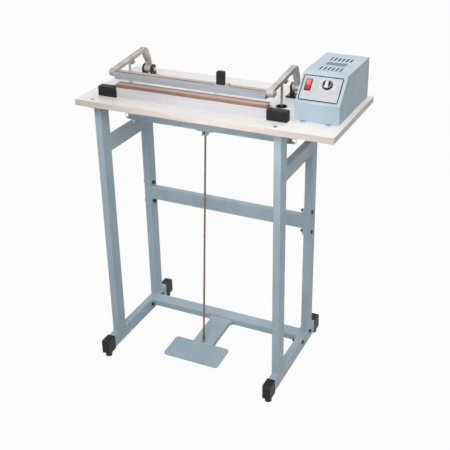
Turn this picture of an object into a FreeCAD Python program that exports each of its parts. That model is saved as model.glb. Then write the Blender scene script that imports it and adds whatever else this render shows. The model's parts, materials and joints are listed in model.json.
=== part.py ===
import FreeCAD, Part
import os
import re
import Sketcher

# Foot-operated impulse heat sealer with a sliding cutter, on a tube stand.
# Millimetres; +Z up, -Y is the operator's side, origin on the floor under the middle.

os.makedirs("parts", exist_ok=True)

SIZES = {
    # Board that carries the sealing head
    "table_length": 880,
    "table_depth": 395,
    "table_thick": 20,
    "table_height": 980,
    "table_shift": -7.5,
    # Rectangular tube stand
    "tube_width": 25,
    "tube_depth": 50,
    "tube_wall": 2,
    "tube_corner": 3,
    "stand_shift": -66,
    "leg_spread": 636,
    "leg_stagger": 283,
    "foot_height": 17,
    "runner_length": 412,
    "rail_height": 801,
    "mid_bar_height": 516,
    "mid_bar_shift": 131,
    "low_bar_height": 50,
    "low_bar_shift": 111,
    "flange_thick": 5,
    "flange_length": 98,
    # Crossbar bolts and nuts
    "bolt_pitch": 78,
    "bolt_radius": 4,
    "bolt_head_radius": 7.5,
    "bolt_head_height": 5.5,
    "nut_height": 6.5,
    "bolt_tail": 3,
    "hole_gap": 0.2,
    # Tabs on the leg tops and the screws through the board
    "tab_thick": 4,
    "tab_reach": 32,
    "tab_screw_reach": 20.5,
    "screw_radius": 3,
    "screw_head_radius": 6,
    "screw_head_height": 2.5,
    # Moulded caps with round pads on the runner ends
    "cap_wall": 2,
    "cap_sleeve": 8,
    "cap_nose": 40,
    "cap_bevel": 6,
    "cap_corner": 4,
    "pad_radius": 12,
    "pad_inset": 22,
    # Lower jaw
    "seal_shift": -58.5,
    "bed_length": 527,
    "bed_depth": 26,
    "bed_height": 45.5,
    "bed_wall": 3,
    "bed_shift": -125,
    "insulation_width": 14,
    "insulation_thick": 0.5,
    "ribbon_width": 4,
    "ribbon_thick": 0.3,
    "cover_thick": 0.4,
    "cover_fold": 12,
    # End blocks over the ribbon's terminals
    "block_width": 67,
    "block_depth": 27,
    "block_height": 33,
    "block_shift": -130,
    "block_wall": 3,
    "block_bevel": 2.5,
    "ribbon_slot_length": 24,
    "ribbon_slot_width": 8,
    "terminal_size": 10,
    "terminal_height": 24,
    "terminal_reach": 34,
    "terminal_screw_radius": 4,
    "terminal_screw_height": 3,
    # Rear pivots of the press arms
    "arm_spread": 546,
    "pivot_shift": 92,
    "pivot_height": 31,
    "bracket_width": 62,
    "bracket_depth": 44,
    "bracket_thick": 5,
    "ear_gap": 27,
    "ear_thick": 5,
    "ear_radius": 16,
    "pin_radius": 5,
    "pin_gap": 0.05,
    "pin_head_radius": 8,
    "pin_head_height": 5,
    "base_screw_radius": 2,
    "base_screw_head": 4,
    "base_screw_head_height": 2,
    "base_screw_length": 14,
    "bracket_screw_spread": 51,
    "bracket_screw_stagger": 28,
    # Press arms, drawn shut and turned open by the rest angle
    "open_angle": 3.6,
    "shut_gap": 0.15,
    "arm_thick": 18,
    "limb_depth": 15,
    "hub_radius": 13,
    "hub_length": 26,
    "boss_radius": 13,
    "boss_length": 22,
    "boss_lift": 6,
    "apex_rise": 83,
    "apex_back": -22,
    "apex_round": 26,
    "crook_round": 10,
    "arm_edge_round": 2.5,
    "lug_thick": 8,
    "lug_radius": 9,
    # Upper bar, its pad strip and the cutter's slot
    "bar_depth": 32,
    "bar_height": 24,
    "bar_shift": -131,
    "bar_edge_round": 1.5,
    "slot_width": 3,
    "slot_wall": 4,
    "slot_margin": 14,
    "strip_width": 12,
    "strip_thick": 3,
    "bar_bolt_radius": 4,
    "bar_bolt_head": 7,
    "bar_bolt_head_height": 5,
    "bar_bolt_grip": 22,
    # Cutter
    "cutter_shift": 54,
    "knob_width": 26,
    "knob_depth": 12,
    "knob_height": 42,
    "knob_round": 5,
    "knob_rib_depth": 1.2,
    "knob_rib_width": 2.5,
    "knob_rib_pitch": 5,
    "slider_length": 48,
    "slider_depth": 12,
    "slider_thick": 2,
    "slider_offset": 5,
    "slider_gap": 0.3,
    "slider_stop_length": 12,
    "slider_stop_height": 9,
    "tongue_drop": 8,
    "blade_thick": 0.8,
    "blade_width": 14,
    "blade_reach": 6,
    "blade_rise": 5,
    # Pull rods and the beam under the board
    "rod_shift": -14,
    "rod_pin_height": 84,
    "rod_pin_gap": 0.4,
    "rod_offset": 11,
    "rod_bend_radius": 6,
    "rod_end": 3,
    "clip_radius": 6,
    "clip_thick": 2.5,
    "clip_gap": 0.3,
    "rod_radius": 4,
    "rod_hole_radius": 16.5,
    "beam_over": 22,
    "beam_depth": 25,
    "beam_tall": 20,
    "beam_wall": 2,
    "beam_drop": 88,
    "rod_nut_radius": 7.5,
    "rod_nut_height": 6.5,
    "rod_tail": 10,
    # Return springs
    "spring_out": 33,
    "loop_radius": 9,
    "wire_radius": 1.1,
    "hook_gap": 0.2,
    "hook_thick": 3,
    "hook_width": 14,
    "hook_hole_radius": 4,
    "hook_web": 2.9,
    "spring_turns": 10,
    "eye_radius": 5,
    "eye_wire": 1.2,
    "eye_drop": 8,
    "eye_shank": 12,
    # Pedal rod and its bracket under the beam
    "rod_bracket_length": 60,
    "rod_bracket_depth": 22,
    "rod_bracket_thick": 3,
    "cheek_thick": 4,
    "cheek_gap": 8.6,
    "cheek_drop": 19,
    "bracket_pin_radius": 3,
    "bracket_pin_drop": 12,
    "bracket_pin_head": 5,
    "bracket_pin_head_height": 2,
    "rod_eye_radius": 6.5,
    "rod_eye_thick": 8,
    "pedal_rod_radius": 3.5,
    "pedal_rod_tail": 16,
    "pedal_hole_gap": 1.5,
    "pedal_nut_radius": 6.5,
    "pedal_nut_height": 5,
    "pedal_nut_gap": 1.8,
    # Pedal
    "pedal_width": 215,
    "pedal_depth": 108,
    "pedal_stem": 158,
    "pedal_tail": 6,
    "stem_width": 78,
    "sheet_thick": 3.5,
    "plate_lift": 6,
    "stem_flange_drop": 7,
    "stem_flange_end": 8,
    "pedal_corner": 12,
    "pedal_tilt": 3.4,
    "pedal_rod_reach": 151,
    "hinge_shift": 76,
    "hinge_height": 52,
    "hinge_pin_radius": 4,
    "hinge_pin_head": 6.5,
    "hinge_pin_head_height": 3,
    "hinge_lug_thick": 4.5,
    "hinge_lug_gap": 0.5,
    "hinge_lug_radius": 9,
    # Limit switch that the beam holds off at rest
    "switch_place": 90,
    "switch_width": 18,
    "switch_depth": 14,
    "switch_tall": 20,
    "switch_plate": 2,
    "switch_flange": 18,
    "switch_seat_gap": 0.2,
    "lever_length": 25,
    "lever_width": 8,
    "lever_thick": 1,
    "lever_barrel": 1.5,
    "lever_gap": 0.3,
    # Control box
    "box_inset": 88,
    "box_width": 140,
    "box_front": -107,
    "box_depth": 286,
    "box_height": 131,
    "box_lip": 57,
    "box_slope_run": 73,
    "box_wall": 1.5,
    "box_edge_round": 4,
    "box_inner_gap": 0.3,
    "base_thick": 2,
    "base_tab_reach": 16,
    "base_tab_width": 18,
    "base_tab_spread": 80,
    "base_tab_screw": 9,
    "vent_length": 36,
    "vent_width": 5,
    "vent_pitch": 12.8,
    "vent_front_row": 121.6,
    "vent_rear_row": 221.8,
    # Front panel with the rocker switch and the timer knob
    "panel_width": 125,
    "panel_length": 85,
    "panel_thick": 1.2,
    "panel_across": -2,
    "panel_along": -1,
    "rocker_across": -43,
    "rocker_along": 8,
    "bezel_width": 20,
    "bezel_length": 38,
    "bezel_rim": 2.5,
    "bezel_wall": 1.2,
    "rocker_width": 13.6,
    "rocker_length": 30.4,
    "rocker_gap": 0.3,
    "rocker_swing_gap": 1,
    "rocker_rise": 5.5,
    "rocker_dip": 3,
    "rocker_root": 4,
    "rocker_tilt": 8,
    "trunnion_radius": 1.5,
    "trunnion_bite": 0.6,
    "switch_body_depth": 16,
    "rocker_cavity": 8,
    "knob_across": 15,
    "knob_along": 14,
    "dial_radius": 14,
    "dial_height": 15,
    "dial_skirt": 16.5,
    "dial_skirt_height": 3,
    "dial_seat": 0.3,
    "dial_pointer_width": 5,
    "dial_pointer_height": 2,
    "spindle_radius": 3,
    "spindle_gap": 0.05,
    "spindle_length": 10,
    "spindle_hole_gap": 0.5,
    # Timer board, transformer and cable gland
    "pot_radius": 11,
    "pot_depth": 10,
    "board_width": 84,
    "board_length": 54,
    "board_thick": 1.6,
    "relay_width": 28,
    "relay_length": 20,
    "relay_height": 15,
    "core_width": 66,
    "core_depth": 30,
    "core_height": 55,
    "winding_width": 40,
    "winding_depth": 46,
    "winding_height": 33,
    "transformer_place": 185,
    "gland_height": 30,
    "gland_radius": 7,
    "gland_nut_radius": 10,
    "gland_nut_height": 5,
    "gland_reach": 14,
    "gland_bore": 3.5,
}

SIDES = {"left": -1, "right": 1}
UP = (0, 0, 1)
ACROSS = (1, 0, 0)
BACK_ACROSS = (-1, 0, 0)
AXES = {"X": FreeCAD.Vector(1, 0, 0), "Y": FreeCAD.Vector(0, 1, 0), "Z": FreeCAD.Vector(0, 0, 1)}

# Formulas that several pieces share
TABLE_BOTTOM = "table_height - table_thick"
RUNNER_TOP = "foot_height + tube_depth"
LEG_LENGTH = "table_height - table_thick - tab_thick - foot_height - tube_depth"
BAR_SPAN = "leg_spread - tube_width"
SEAL_TOP = "(bed_height + insulation_thick + ribbon_thick + cover_thick)"
BLOCK_EDGE = "(bed_length / 2)"
BAR_LOW = f"({SEAL_TOP} + shut_gap + strip_thick - pivot_height)"
BAR_MID = "(bar_shift - pivot_shift)"
BOSS_UP = f"({BAR_LOW} + bar_height / 2 + boss_lift)"
SLOT_MID = f"({BAR_MID} - bar_depth / 2 + slot_wall + slot_width / 2)"
JAW_LENGTH = "(arm_spread - boss_length)"
PIN_OUT = "(rod_shift - pivot_shift)"
PIN_UP = "(rod_pin_height - pivot_height)"
LUG_OUT = f"({PIN_OUT} * cos(open_angle) - {PIN_UP} * sin(open_angle))"
LUG_UP = f"({PIN_OUT} * sin(open_angle) + {PIN_UP} * cos(open_angle))"
BEAM_MID = f"({TABLE_BOTTOM} - beam_drop)"
BEAM_BOTTOM = f"({BEAM_MID} - beam_tall / 2)"
BEAM_LENGTH = "(arm_spread + 2 * beam_over)"
SPRING_PLACE = "(arm_spread / 2 + spring_out)"
BOX_MID = "(table_length / 2 - box_inset)"
LOOP_LOW = f"({BEAM_BOTTOM} - hook_gap - wire_radius + loop_radius)"
EYE_HEIGHT = f"({TABLE_BOTTOM} - eye_drop)"
LOOP_HIGH = f"({EYE_HEIGHT} - eye_radius + eye_wire + wire_radius + hook_gap - loop_radius)"
HOLE_UP = "(plate_lift + sheet_thick / 2)"
ROD_FOOT = f"(hinge_shift - pedal_rod_reach * cos(pedal_tilt) - {HOLE_UP} * sin(pedal_tilt))"
ROD_FOOT_UP = f"(hinge_height - pedal_rod_reach * sin(pedal_tilt) + {HOLE_UP} * cos(pedal_tilt))"
ROD_HEAD_UP = f"({BEAM_BOTTOM} - bracket_pin_drop)"
ROD_RUN = f"(rod_shift - {ROD_FOOT})"
ROD_DROP = f"({ROD_HEAD_UP} - {ROD_FOOT_UP})"
ROD_LEAN = f"atan({ROD_RUN} / {ROD_DROP})"
ROD_REACH = f"sqrt({ROD_RUN}^2 + {ROD_DROP}^2)"
SLOPE_RISE = "(box_height - box_lip)"
SLOPE_ANGLE = f"atan({SLOPE_RISE} / box_slope_run)"

doc = FreeCAD.newDocument("impulse_sealer")
sheet = doc.addObject("Spreadsheet::Sheet", "sheet")
for row, (alias, size) in enumerate(SIZES.items(), start=1):
    sheet.set(f"A{row}", str(size))
    sheet.setAlias(f"A{row}", alias)
doc.recompute()

nodes = []


# Helpers: formulas, sketches and features

def cells(formula):
    """Turn the sheet's plain names in a formula into references to its cells."""
    return re.sub(r"\b[a-z]+(?:_[a-z]+)+\b", r"sheet.\g<0>", formula)


def number(formula):
    return float(sheet.evalExpression(cells(formula)))


def bind(thing, name, formula):
    thing.setExpression(name, cells(formula))


def place(thing, x="0", y="0", z="0", axis=None, angle="0"):
    if axis:
        turn = FreeCAD.Rotation(FreeCAD.Vector(*axis), number(angle))
        thing.Placement = FreeCAD.Placement(FreeCAD.Vector(), turn)
        bind(thing, "Placement.Rotation.Angle", angle)
    for name, formula in zip("xyz", (x, y, z)):
        bind(thing, f"Placement.Base.{name}", formula)


def new_body(label, x="0", y="0", z="0", axis=None, angle="0"):
    body = doc.addObject("PartDesign::Body", label)
    body.Label = label
    place(body, x, y, z, axis, angle)
    return body


def new_sketch(body, plane, lift="0"):
    """Sketch on one of the body's origin planes, moved along the plane's normal by lift."""
    sketch = body.newObject("Sketcher::SketchObject", f"{body.Name}_sketch")
    support = next(item for item in body.Origin.OriginFeatures if item.Role == f"{plane}_Plane")
    sketch.AttachmentSupport = [(support, "")]
    sketch.MapMode = "FlatFace"
    bind(sketch, "AttachmentOffset.Base.z", lift)
    return sketch


def fix_point(sketch, piece, end, x, y):
    for kind, formula, axis in (("DistanceX", x, -2), ("DistanceY", y, -1)):
        if formula == "0":
            sketch.addConstraint(Sketcher.Constraint("PointOnObject", piece, end, axis))
            continue
        rule = sketch.addConstraint(Sketcher.Constraint(kind, -1, 1, piece, end, number(formula)))
        bind(sketch, f"Constraints[{rule}]", formula)


def outline(sketch, corners):
    """Closed run of straight lines through corners given as pairs of formulas."""
    first = sketch.GeometryCount
    count = len(corners)
    spots = [FreeCAD.Vector(number(x), number(y), 0) for x, y in corners]
    for index in range(count):
        sketch.addGeometry(Part.LineSegment(spots[index], spots[(index + 1) % count]))
    for index in range(count):
        following = first + (index + 1) % count
        sketch.addConstraint(Sketcher.Constraint("Coincident", first + index, 2, following, 1))
    for index, (x, y) in enumerate(corners):
        fix_point(sketch, first + index, 1, x, y)


def rectangle(sketch, x0, y0, x1, y1):
    outline(sketch, [(x0, y0), (x1, y0), (x1, y1), (x0, y1)])


def centred(sketch, width, height, x="0", y="0"):
    rectangle(
        sketch,
        f"{x} - ({width}) / 2",
        f"{y} - ({height}) / 2",
        f"{x} + ({width}) / 2",
        f"{y} + ({height}) / 2",
    )


def circle(sketch, x, y, radius):
    centre = FreeCAD.Vector(number(x), number(y), 0)
    ring = sketch.addGeometry(Part.Circle(centre, FreeCAD.Vector(0, 0, 1), number(radius)))
    fix_point(sketch, ring, 3, x, y)
    rule = sketch.addConstraint(Sketcher.Constraint("Radius", ring, number(radius)))
    bind(sketch, f"Constraints[{rule}]", radius)


def hexagon(sketch, radius, x="0", y="0"):
    turns = range(30, 390, 60)
    outline(sketch, [(f"{x} + {radius} * cos({turn})", f"{y} + {radius} * sin({turn})") for turn in turns])


def pad(body, sketch, length, both_ways=False, back=False):
    feature = body.newObject("PartDesign::Pad", f"{body.Name}_pad")
    feature.Profile = sketch
    feature.SideType = "Symmetric" if both_ways else "One side"
    feature.Reversed = back
    bind(feature, "Length", length)
    doc.recompute()


def pocket(body, sketch, depth=None, both_ways=False, back=False):
    """Cut to a depth, or right through both ways where no depth is given."""
    before = body.Shape.Volume
    feature = body.newObject("PartDesign::Pocket", f"{body.Name}_pocket")
    feature.Profile = sketch
    if depth is None:
        feature.Type = "ThroughAll"
        feature.SideType = "Symmetric"
    else:
        feature.SideType = "Symmetric" if both_ways else "One side"
        feature.Reversed = back
        bind(feature, "Length", depth)
    doc.recompute()
    if body.Shape.Volume >= before:
        raise ValueError(f"{body.Label}: a pocket cut nothing")


def revolve(body, sketch, axis, angle):
    turn = body.newObject("PartDesign::Revolution", f"{body.Name}_turn")
    turn.Profile = sketch
    turn.ReferenceAxis = (sketch, [axis])
    turn.Angle = angle
    doc.recompute()


def straight_edges(shape, axis):
    """Names and middles of the straight edges that run along an axis."""
    found = []
    for index, edge in enumerate(shape.Edges, start=1):
        if edge.Curve.TypeId != "Part::GeomLine":
            continue
        along = edge.tangentAt(edge.FirstParameter)
        if abs(along.dot(AXES[axis])) > 0.999:
            found.append((f"Edge{index}", edge.CenterOfMass))
    return found


def soften(body, names, radius, kind="Fillet"):
    base = body.Tip
    feature = body.newObject(f"PartDesign::{kind}", f"{body.Name}_soft")
    feature.Base = (base, names)
    bind(feature, "Radius" if kind == "Fillet" else "Size", radius)
    doc.recompute()


def outer_edges(body, axis):
    """Edges along an axis that lie on the corners of the body's own bounding box."""
    shape = body.Tip.Shape
    limits = shape.BoundBox
    spans = {
        "X": (limits.XMin, limits.XMax),
        "Y": (limits.YMin, limits.YMax),
        "Z": (limits.ZMin, limits.ZMax),
    }
    across = [name for name in "XYZ" if name != axis]
    names = []
    for name, middle in straight_edges(shape, axis):
        spot = {"X": middle.x, "Y": middle.y, "Z": middle.z}
        if all(min(abs(spot[side] - limit) for limit in spans[side]) < 0.01 for side in across):
            names.append(name)
    return names


def edges_near(body, axis, spots):
    """Edges along an axis that pass through the given spots, as pairs on the other two axes."""
    names = []
    for name, middle in straight_edges(body.Tip.Shape, axis):
        pair = {"X": (middle.y, middle.z), "Y": (middle.x, middle.z), "Z": (middle.x, middle.y)}[axis]
        for spot in spots:
            if abs(pair[0] - number(spot[0])) < 0.05 and abs(pair[1] - number(spot[1])) < 0.05:
                names.append(name)
    return names


def node(thing):
    nodes.append(thing)
    return thing


def group(label, things):
    """Separate solids that share one node."""
    bundle = doc.addObject("Part::Compound", label)
    bundle.Label = label
    bundle.Links = things
    return node(bundle)


# Stand

def drill(body, holes, radius):
    """Cross holes along X through a tube, each at a pair of formulas for Y and Z."""
    sketch = new_sketch(body, "YZ")
    for y, z in holes:
        circle(sketch, y, z, radius)
    pocket(body, sketch)


def tube(label, plane, across, length, x, y, z, holes=()):
    """Hollow rectangular tube, drawn on a plane and padded both ways."""
    axis = {"XY": "Z", "XZ": "Y", "YZ": "X"}[plane]
    body = new_body(label, x, y, z)
    sketch = new_sketch(body, plane)
    centred(sketch, across[0], across[1])
    centred(sketch, f"{across[0]} - 2 * tube_wall", f"{across[1]} - 2 * tube_wall")
    pad(body, sketch, length, both_ways=True)
    soften(body, outer_edges(body, axis), "tube_corner")
    if holes:
        drill(body, holes, "bolt_radius + hole_gap")
    return body


def side_x(side):
    return f"stand_shift + {side} * leg_spread / 2"


def legs():
    middle = f"{RUNNER_TOP} + ({LEG_LENGTH}) / 2"
    rear_holes = [
        ("mid_bar_shift - leg_stagger / 2", f"mid_bar_height + {step} * bolt_pitch / 2 - ({middle})")
        for step in (-1, 1)
    ]
    for name, side in SIDES.items():
        for end, depth, holes in (("front", -1, ()), ("rear", 1, rear_holes)):
            node(tube(
                f"{end}_{name}_leg", "XY", ("tube_width", "tube_depth"), LEG_LENGTH,
                side_x(side), f"{depth} * leg_stagger / 2", middle, holes,
            ))


def rails_and_runners():
    runner_holes = [
        (f"low_bar_shift + {step} * bolt_pitch / 2", "low_bar_height - foot_height - tube_depth / 2")
        for step in (-1, 1)
    ]
    for name, side in SIDES.items():
        node(tube(
            f"{name}_top_rail", "XZ", ("tube_width", "tube_depth"), "leg_stagger - tube_depth",
            side_x(side), "0", "rail_height",
        ))
        node(tube(
            f"{name}_runner", "XZ", ("tube_width", "tube_depth"), "runner_length",
            side_x(side), "0", "foot_height + tube_depth / 2", runner_holes,
        ))


def crossbar(label, across, flange, y, z, bolts):
    """Tube and the bolting flange welded on each end."""
    length = f"{BAR_SPAN} - 2 * flange_thick"
    pieces = [tube(f"{label}_tube", "YZ", across, length, "stand_shift", y, z)]
    for end, lift in (("right", f"({BAR_SPAN}) / 2 - flange_thick"), ("left", f"-({BAR_SPAN}) / 2")):
        plate = new_body(f"{label}_{end}_flange", "stand_shift", y, z)
        sketch = new_sketch(plate, "YZ", lift)
        centred(sketch, flange[0], flange[1])
        for across_y, across_z in bolts:
            circle(sketch, across_y, across_z, "bolt_radius + hole_gap")
        pad(plate, sketch, "flange_thick")
        pieces.append(plate)
    return pieces


def hinge_lugs():
    """Lugs welded to the front of the lower crossbar for the pedal's pin."""
    lugs = []
    inner = "stem_width / 2 + hinge_lug_gap"
    back = "low_bar_shift - tube_depth / 2 - hinge_shift"
    for end, lift in (("right", inner), ("left", f"-({inner}) - hinge_lug_thick")):
        lug = new_body(f"{end}_hinge_lug", "stand_shift", "hinge_shift", "hinge_height")
        sketch = new_sketch(lug, "YZ", lift)
        rectangle(sketch, "0", "-hinge_lug_radius", back, "hinge_lug_radius")
        pad(lug, sketch, "hinge_lug_thick")
        sketch = new_sketch(lug, "YZ", lift)
        circle(sketch, "0", "0", "hinge_lug_radius")
        pad(lug, sketch, "hinge_lug_thick")
        sketch = new_sketch(lug, "YZ")
        circle(sketch, "0", "0", "hinge_pin_radius + pin_gap")
        pocket(lug, sketch)
        lugs.append(lug)
    return lugs


def crossbars():
    half = "bolt_pitch / 2"
    group("mid_crossbar", crossbar(
        "mid", ("tube_width", "tube_depth"), ("tube_width", "flange_length"),
        "mid_bar_shift", "mid_bar_height", [("0", half), ("0", f"-{half}")],
    ))
    group("lower_crossbar", hinge_lugs() + crossbar(
        "lower", ("tube_depth", "tube_width"), ("flange_length", "tube_width"),
        "low_bar_shift", "low_bar_height", [(half, "0"), (f"-{half}", "0")],
    ))


def crossbar_bolts():
    """Hex bolts through legs and runners, heads outside, with nuts on the flanges."""
    spots = [("mid_bar_shift", f"mid_bar_height + {step} * bolt_pitch / 2") for step in (-1, 1)]
    spots += [(f"low_bar_shift + {step} * bolt_pitch / 2", "low_bar_height") for step in (-1, 1)]
    grip = "tube_width + flange_thick"
    pieces = []
    for name, side in SIDES.items():
        turn = "0" if side > 0 else "180"
        x = f"{side_x(side)} + {side} * tube_width / 2"
        for index, (y, z) in enumerate(spots):
            bolt = new_body(f"{name}_bolt_{index}", x, y, z, UP, turn)
            sketch = new_sketch(bolt, "YZ")
            hexagon(sketch, "bolt_head_radius")
            pad(bolt, sketch, "bolt_head_height")
            sketch = new_sketch(bolt, "YZ")
            circle(sketch, "0", "0", "bolt_radius")
            pad(bolt, sketch, f"{grip} + nut_height + bolt_tail", back=True)
            nut = new_body(f"{name}_nut_{index}", x, y, z, UP, turn)
            sketch = new_sketch(nut, "YZ", f"-({grip}) - nut_height")
            hexagon(sketch, "bolt_head_radius")
            circle(sketch, "0", "0", "bolt_radius + pin_gap")
            pad(nut, sketch, "nut_height")
            pieces += [bolt, nut]
    group("crossbar_bolts", pieces)


def tab_spot(side, depth):
    """Middle of a leg top, in X and Y."""
    return side_x(side), f"{depth} * leg_stagger / 2"


def tabs_and_screws():
    tabs = []
    screws = []
    for name, side in SIDES.items():
        for end, depth in (("front", -1), ("rear", 1)):
            x, y = tab_spot(side, depth)
            tab = new_body(f"{end}_{name}_tab", x, y, f"{TABLE_BOTTOM} - tab_thick")
            sketch = new_sketch(tab, "XY")
            rectangle(
                sketch, "-tube_width / 2", "-tube_depth / 2 - tab_reach", "tube_width / 2", "tube_depth / 2",
            )
            circle(sketch, "0", "-tube_depth / 2 - tab_screw_reach", "screw_radius + hole_gap")
            pad(tab, sketch, "tab_thick")
            screw = new_body(
                f"{end}_{name}_screw", x, f"{y} - tube_depth / 2 - tab_screw_reach", "table_height",
            )
            sketch = new_sketch(screw, "XY")
            circle(sketch, "0", "0", "screw_head_radius")
            pad(screw, sketch, "screw_head_height")
            sketch = new_sketch(screw, "XY")
            circle(sketch, "0", "0", "screw_radius")
            pad(screw, sketch, "table_thick + tab_thick + screw_head_height", back=True)
            tabs.append(tab)
            screws.append(screw)
    group("leg_tabs", tabs)
    group("table_screws", screws)


def foot_caps():
    """Moulded end caps: a sleeve on the runner, a bevelled nose and a round pad."""
    caps = []
    half = "(tube_depth / 2 + cap_wall)"
    for name, side in SIDES.items():
        for end, depth, turn in (("front", -1, "180"), ("rear", 1, "0")):
            cap = new_body(
                f"{end}_{name}_cap", side_x(side), f"{depth} * runner_length / 2",
                "foot_height + tube_depth / 2", UP, turn,
            )
            sketch = new_sketch(cap, "YZ")
            outline(sketch, [
                ("-cap_sleeve", f"-{half}"),
                ("cap_nose - cap_bevel", f"-{half}"),
                ("cap_nose", f"cap_bevel - {half}"),
                ("cap_nose", f"{half} - cap_bevel"),
                ("cap_nose - cap_bevel", half),
                ("-cap_sleeve", half),
            ])
            pad(cap, sketch, "tube_width + 2 * cap_wall", both_ways=True)
            corners = [(f"{edge} * (tube_width / 2 + cap_wall)", "cap_nose") for edge in SIDES.values()]
            soften(cap, edges_near(cap, "Z", corners), "cap_corner")
            sketch = new_sketch(cap, "YZ")
            rectangle(sketch, "-cap_sleeve - cap_wall", "-tube_depth / 2", "0", "tube_depth / 2")
            pocket(cap, sketch, "tube_width", both_ways=True)
            sketch = new_sketch(cap, "XY", "-foot_height - tube_depth / 2")
            circle(sketch, "0", "cap_nose - pad_inset", "pad_radius")
            pad(cap, sketch, "foot_height - cap_wall")
            caps.append(cap)
    group("foot_caps", caps)


# Board

def bracket_screw_spots():
    """Where the pivot brackets' screws enter the board."""
    spots = []
    for side in SIDES.values():
        for across in (-1, 1):
            for along in (-1, 1):
                x = f"seal_shift + {side} * arm_spread / 2 + {across} * bracket_screw_spread / 2"
                spots.append((x, f"pivot_shift + {along} * bracket_screw_stagger / 2", "bracket_thick"))
    return spots


def box_screw_spots():
    """Where the control box's base is screwed down, through its front and rear tabs."""
    spots = []
    for across in (-1, 1):
        x = f"{BOX_MID} + {across} * base_tab_spread / 2"
        spots.append((x, "box_front - base_tab_screw", "base_thick"))
    return spots


def tabletop():
    body = node(new_body("tabletop", "0", "table_shift", TABLE_BOTTOM))
    sketch = new_sketch(body, "XY")
    centred(sketch, "table_length", "table_depth")
    for side in SIDES.values():
        rod_x = f"seal_shift + {side} * arm_spread / 2 - rod_offset"
        circle(sketch, rod_x, "rod_shift - table_shift", "rod_hole_radius")
        for depth in (-1, 1):
            x, y = tab_spot(side, depth)
            circle(
                sketch, x, f"{y} - tube_depth / 2 - tab_screw_reach - table_shift", "screw_radius + hole_gap",
            )
    pad(body, sketch, "table_thick")
    sketch = new_sketch(body, "XY", "table_thick")
    for x, y, _ in bracket_screw_spots() + box_screw_spots():
        circle(sketch, x, f"{y} - table_shift", "base_screw_radius + pin_gap")
    pocket(body, sketch, "base_screw_length")
    sketch = new_sketch(body, "XY")
    for side in SIDES.values():
        circle(
            sketch, f"seal_shift + {side} * {SPRING_PLACE}", "rod_shift - table_shift", "eye_wire + pin_gap",
        )
    pocket(body, sketch, "eye_shank", back=True)


def base_screws():
    screws = []
    for index, (x, y, seat) in enumerate(bracket_screw_spots() + box_screw_spots()):
        screw = new_body(f"base_screw_{index}", x, y, f"table_height + {seat}")
        sketch = new_sketch(screw, "XY")
        circle(sketch, "0", "0", "base_screw_head")
        pad(screw, sketch, "base_screw_head_height")
        sketch = new_sketch(screw, "XY")
        circle(sketch, "0", "0", "base_screw_radius")
        pad(screw, sketch, f"base_screw_length + {seat} - pin_gap", back=True)
        screws.append(screw)
    group("base_screws", screws)


# Lower jaw

def seal_bed():
    body = node(new_body("seal_bed", "seal_shift", "bed_shift", "table_height"))
    sketch = new_sketch(body, "YZ")
    rectangle(sketch, "-bed_depth / 2", "0", "bed_depth / 2", "bed_height")
    rectangle(
        sketch, "bed_wall - bed_depth / 2", "bed_wall", "bed_depth / 2 - bed_wall", "bed_height - bed_wall",
    )
    pad(body, sketch, "bed_length", both_ways=True)


def insulation_strip():
    body = node(new_body("insulation_strip", "seal_shift", "bed_shift", "table_height + bed_height"))
    sketch = new_sketch(body, "YZ")
    rectangle(sketch, "-insulation_width / 2", "0", "insulation_width / 2", "insulation_thick")
    pad(body, sketch, "bed_length", both_ways=True)


def heating_ribbon():
    """Flat ribbon over the jaw, bent down at each end to its terminal."""
    body = node(new_body("heating_ribbon", "seal_shift", "bed_shift", "table_height"))
    level = "bed_height + insulation_thick"
    bend = "bed_length / 2 + ribbon_thick"
    near = "bed_length / 2 + terminal_reach - terminal_size / 2"
    far = "bed_length / 2 + terminal_reach + terminal_size / 2"
    lower = [
        (f"-({far})", "terminal_height"),
        (f"-({near})", "terminal_height"),
        (f"-({bend})", level),
        (bend, level),
        (near, "terminal_height"),
        (far, "terminal_height"),
    ]
    upper = [(x, f"{z} + ribbon_thick") for x, z in reversed(lower)]
    sketch = new_sketch(body, "XZ")
    outline(sketch, lower + upper)
    pad(body, sketch, "ribbon_width", both_ways=True)


def ptfe_cover():
    """Coated cloth folded over the top of the jaw."""
    body = node(new_body("ptfe_cover", "seal_shift", "bed_shift", "table_height"))
    under = "(bed_height + insulation_thick + ribbon_thick)"
    inner = "bed_depth / 2"
    outer = "bed_depth / 2 + cover_thick"
    hem = "bed_height - cover_fold"
    sketch = new_sketch(body, "YZ")
    outline(sketch, [
        (f"-({outer})", hem),
        (f"-{inner}", hem),
        (f"-{inner}", under),
        (inner, under),
        (inner, hem),
        (outer, hem),
        (outer, f"{under} + cover_thick"),
        (f"-({outer})", f"{under} + cover_thick"),
    ])
    pad(body, sketch, "bed_length", both_ways=True)


def end_block(name, side):
    """Moulded cover over a ribbon terminal, open below, with a slot in its top for the ribbon."""
    x = f"seal_shift + {side} * ({BLOCK_EDGE} + block_width / 2)"
    body = node(new_body(f"{name}_end_block", x, "block_shift", "table_height"))
    sketch = new_sketch(body, "XY")
    centred(sketch, "block_width", "block_depth")
    pad(body, sketch, "block_height")
    soften(body, outer_edges(body, "Z"), "block_bevel")
    top = [
        f"Edge{index}" for index, edge in enumerate(body.Tip.Shape.Edges, start=1)
        if abs(edge.CenterOfMass.z - number("block_height")) < 0.01
    ]
    soften(body, top, "block_bevel", "Chamfer")
    sketch = new_sketch(body, "XY")
    centred(sketch, "block_width - 2 * block_wall", "block_depth - 2 * block_wall")
    pocket(body, sketch, "block_height - block_wall", back=True)
    sketch = new_sketch(body, "XY", "block_height")
    middle = f"{-side} * (block_width - ribbon_slot_length) / 2"
    centred(sketch, "ribbon_slot_length", "ribbon_slot_width", middle, "bed_shift - block_shift")
    pocket(body, sketch, "block_wall")


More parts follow.
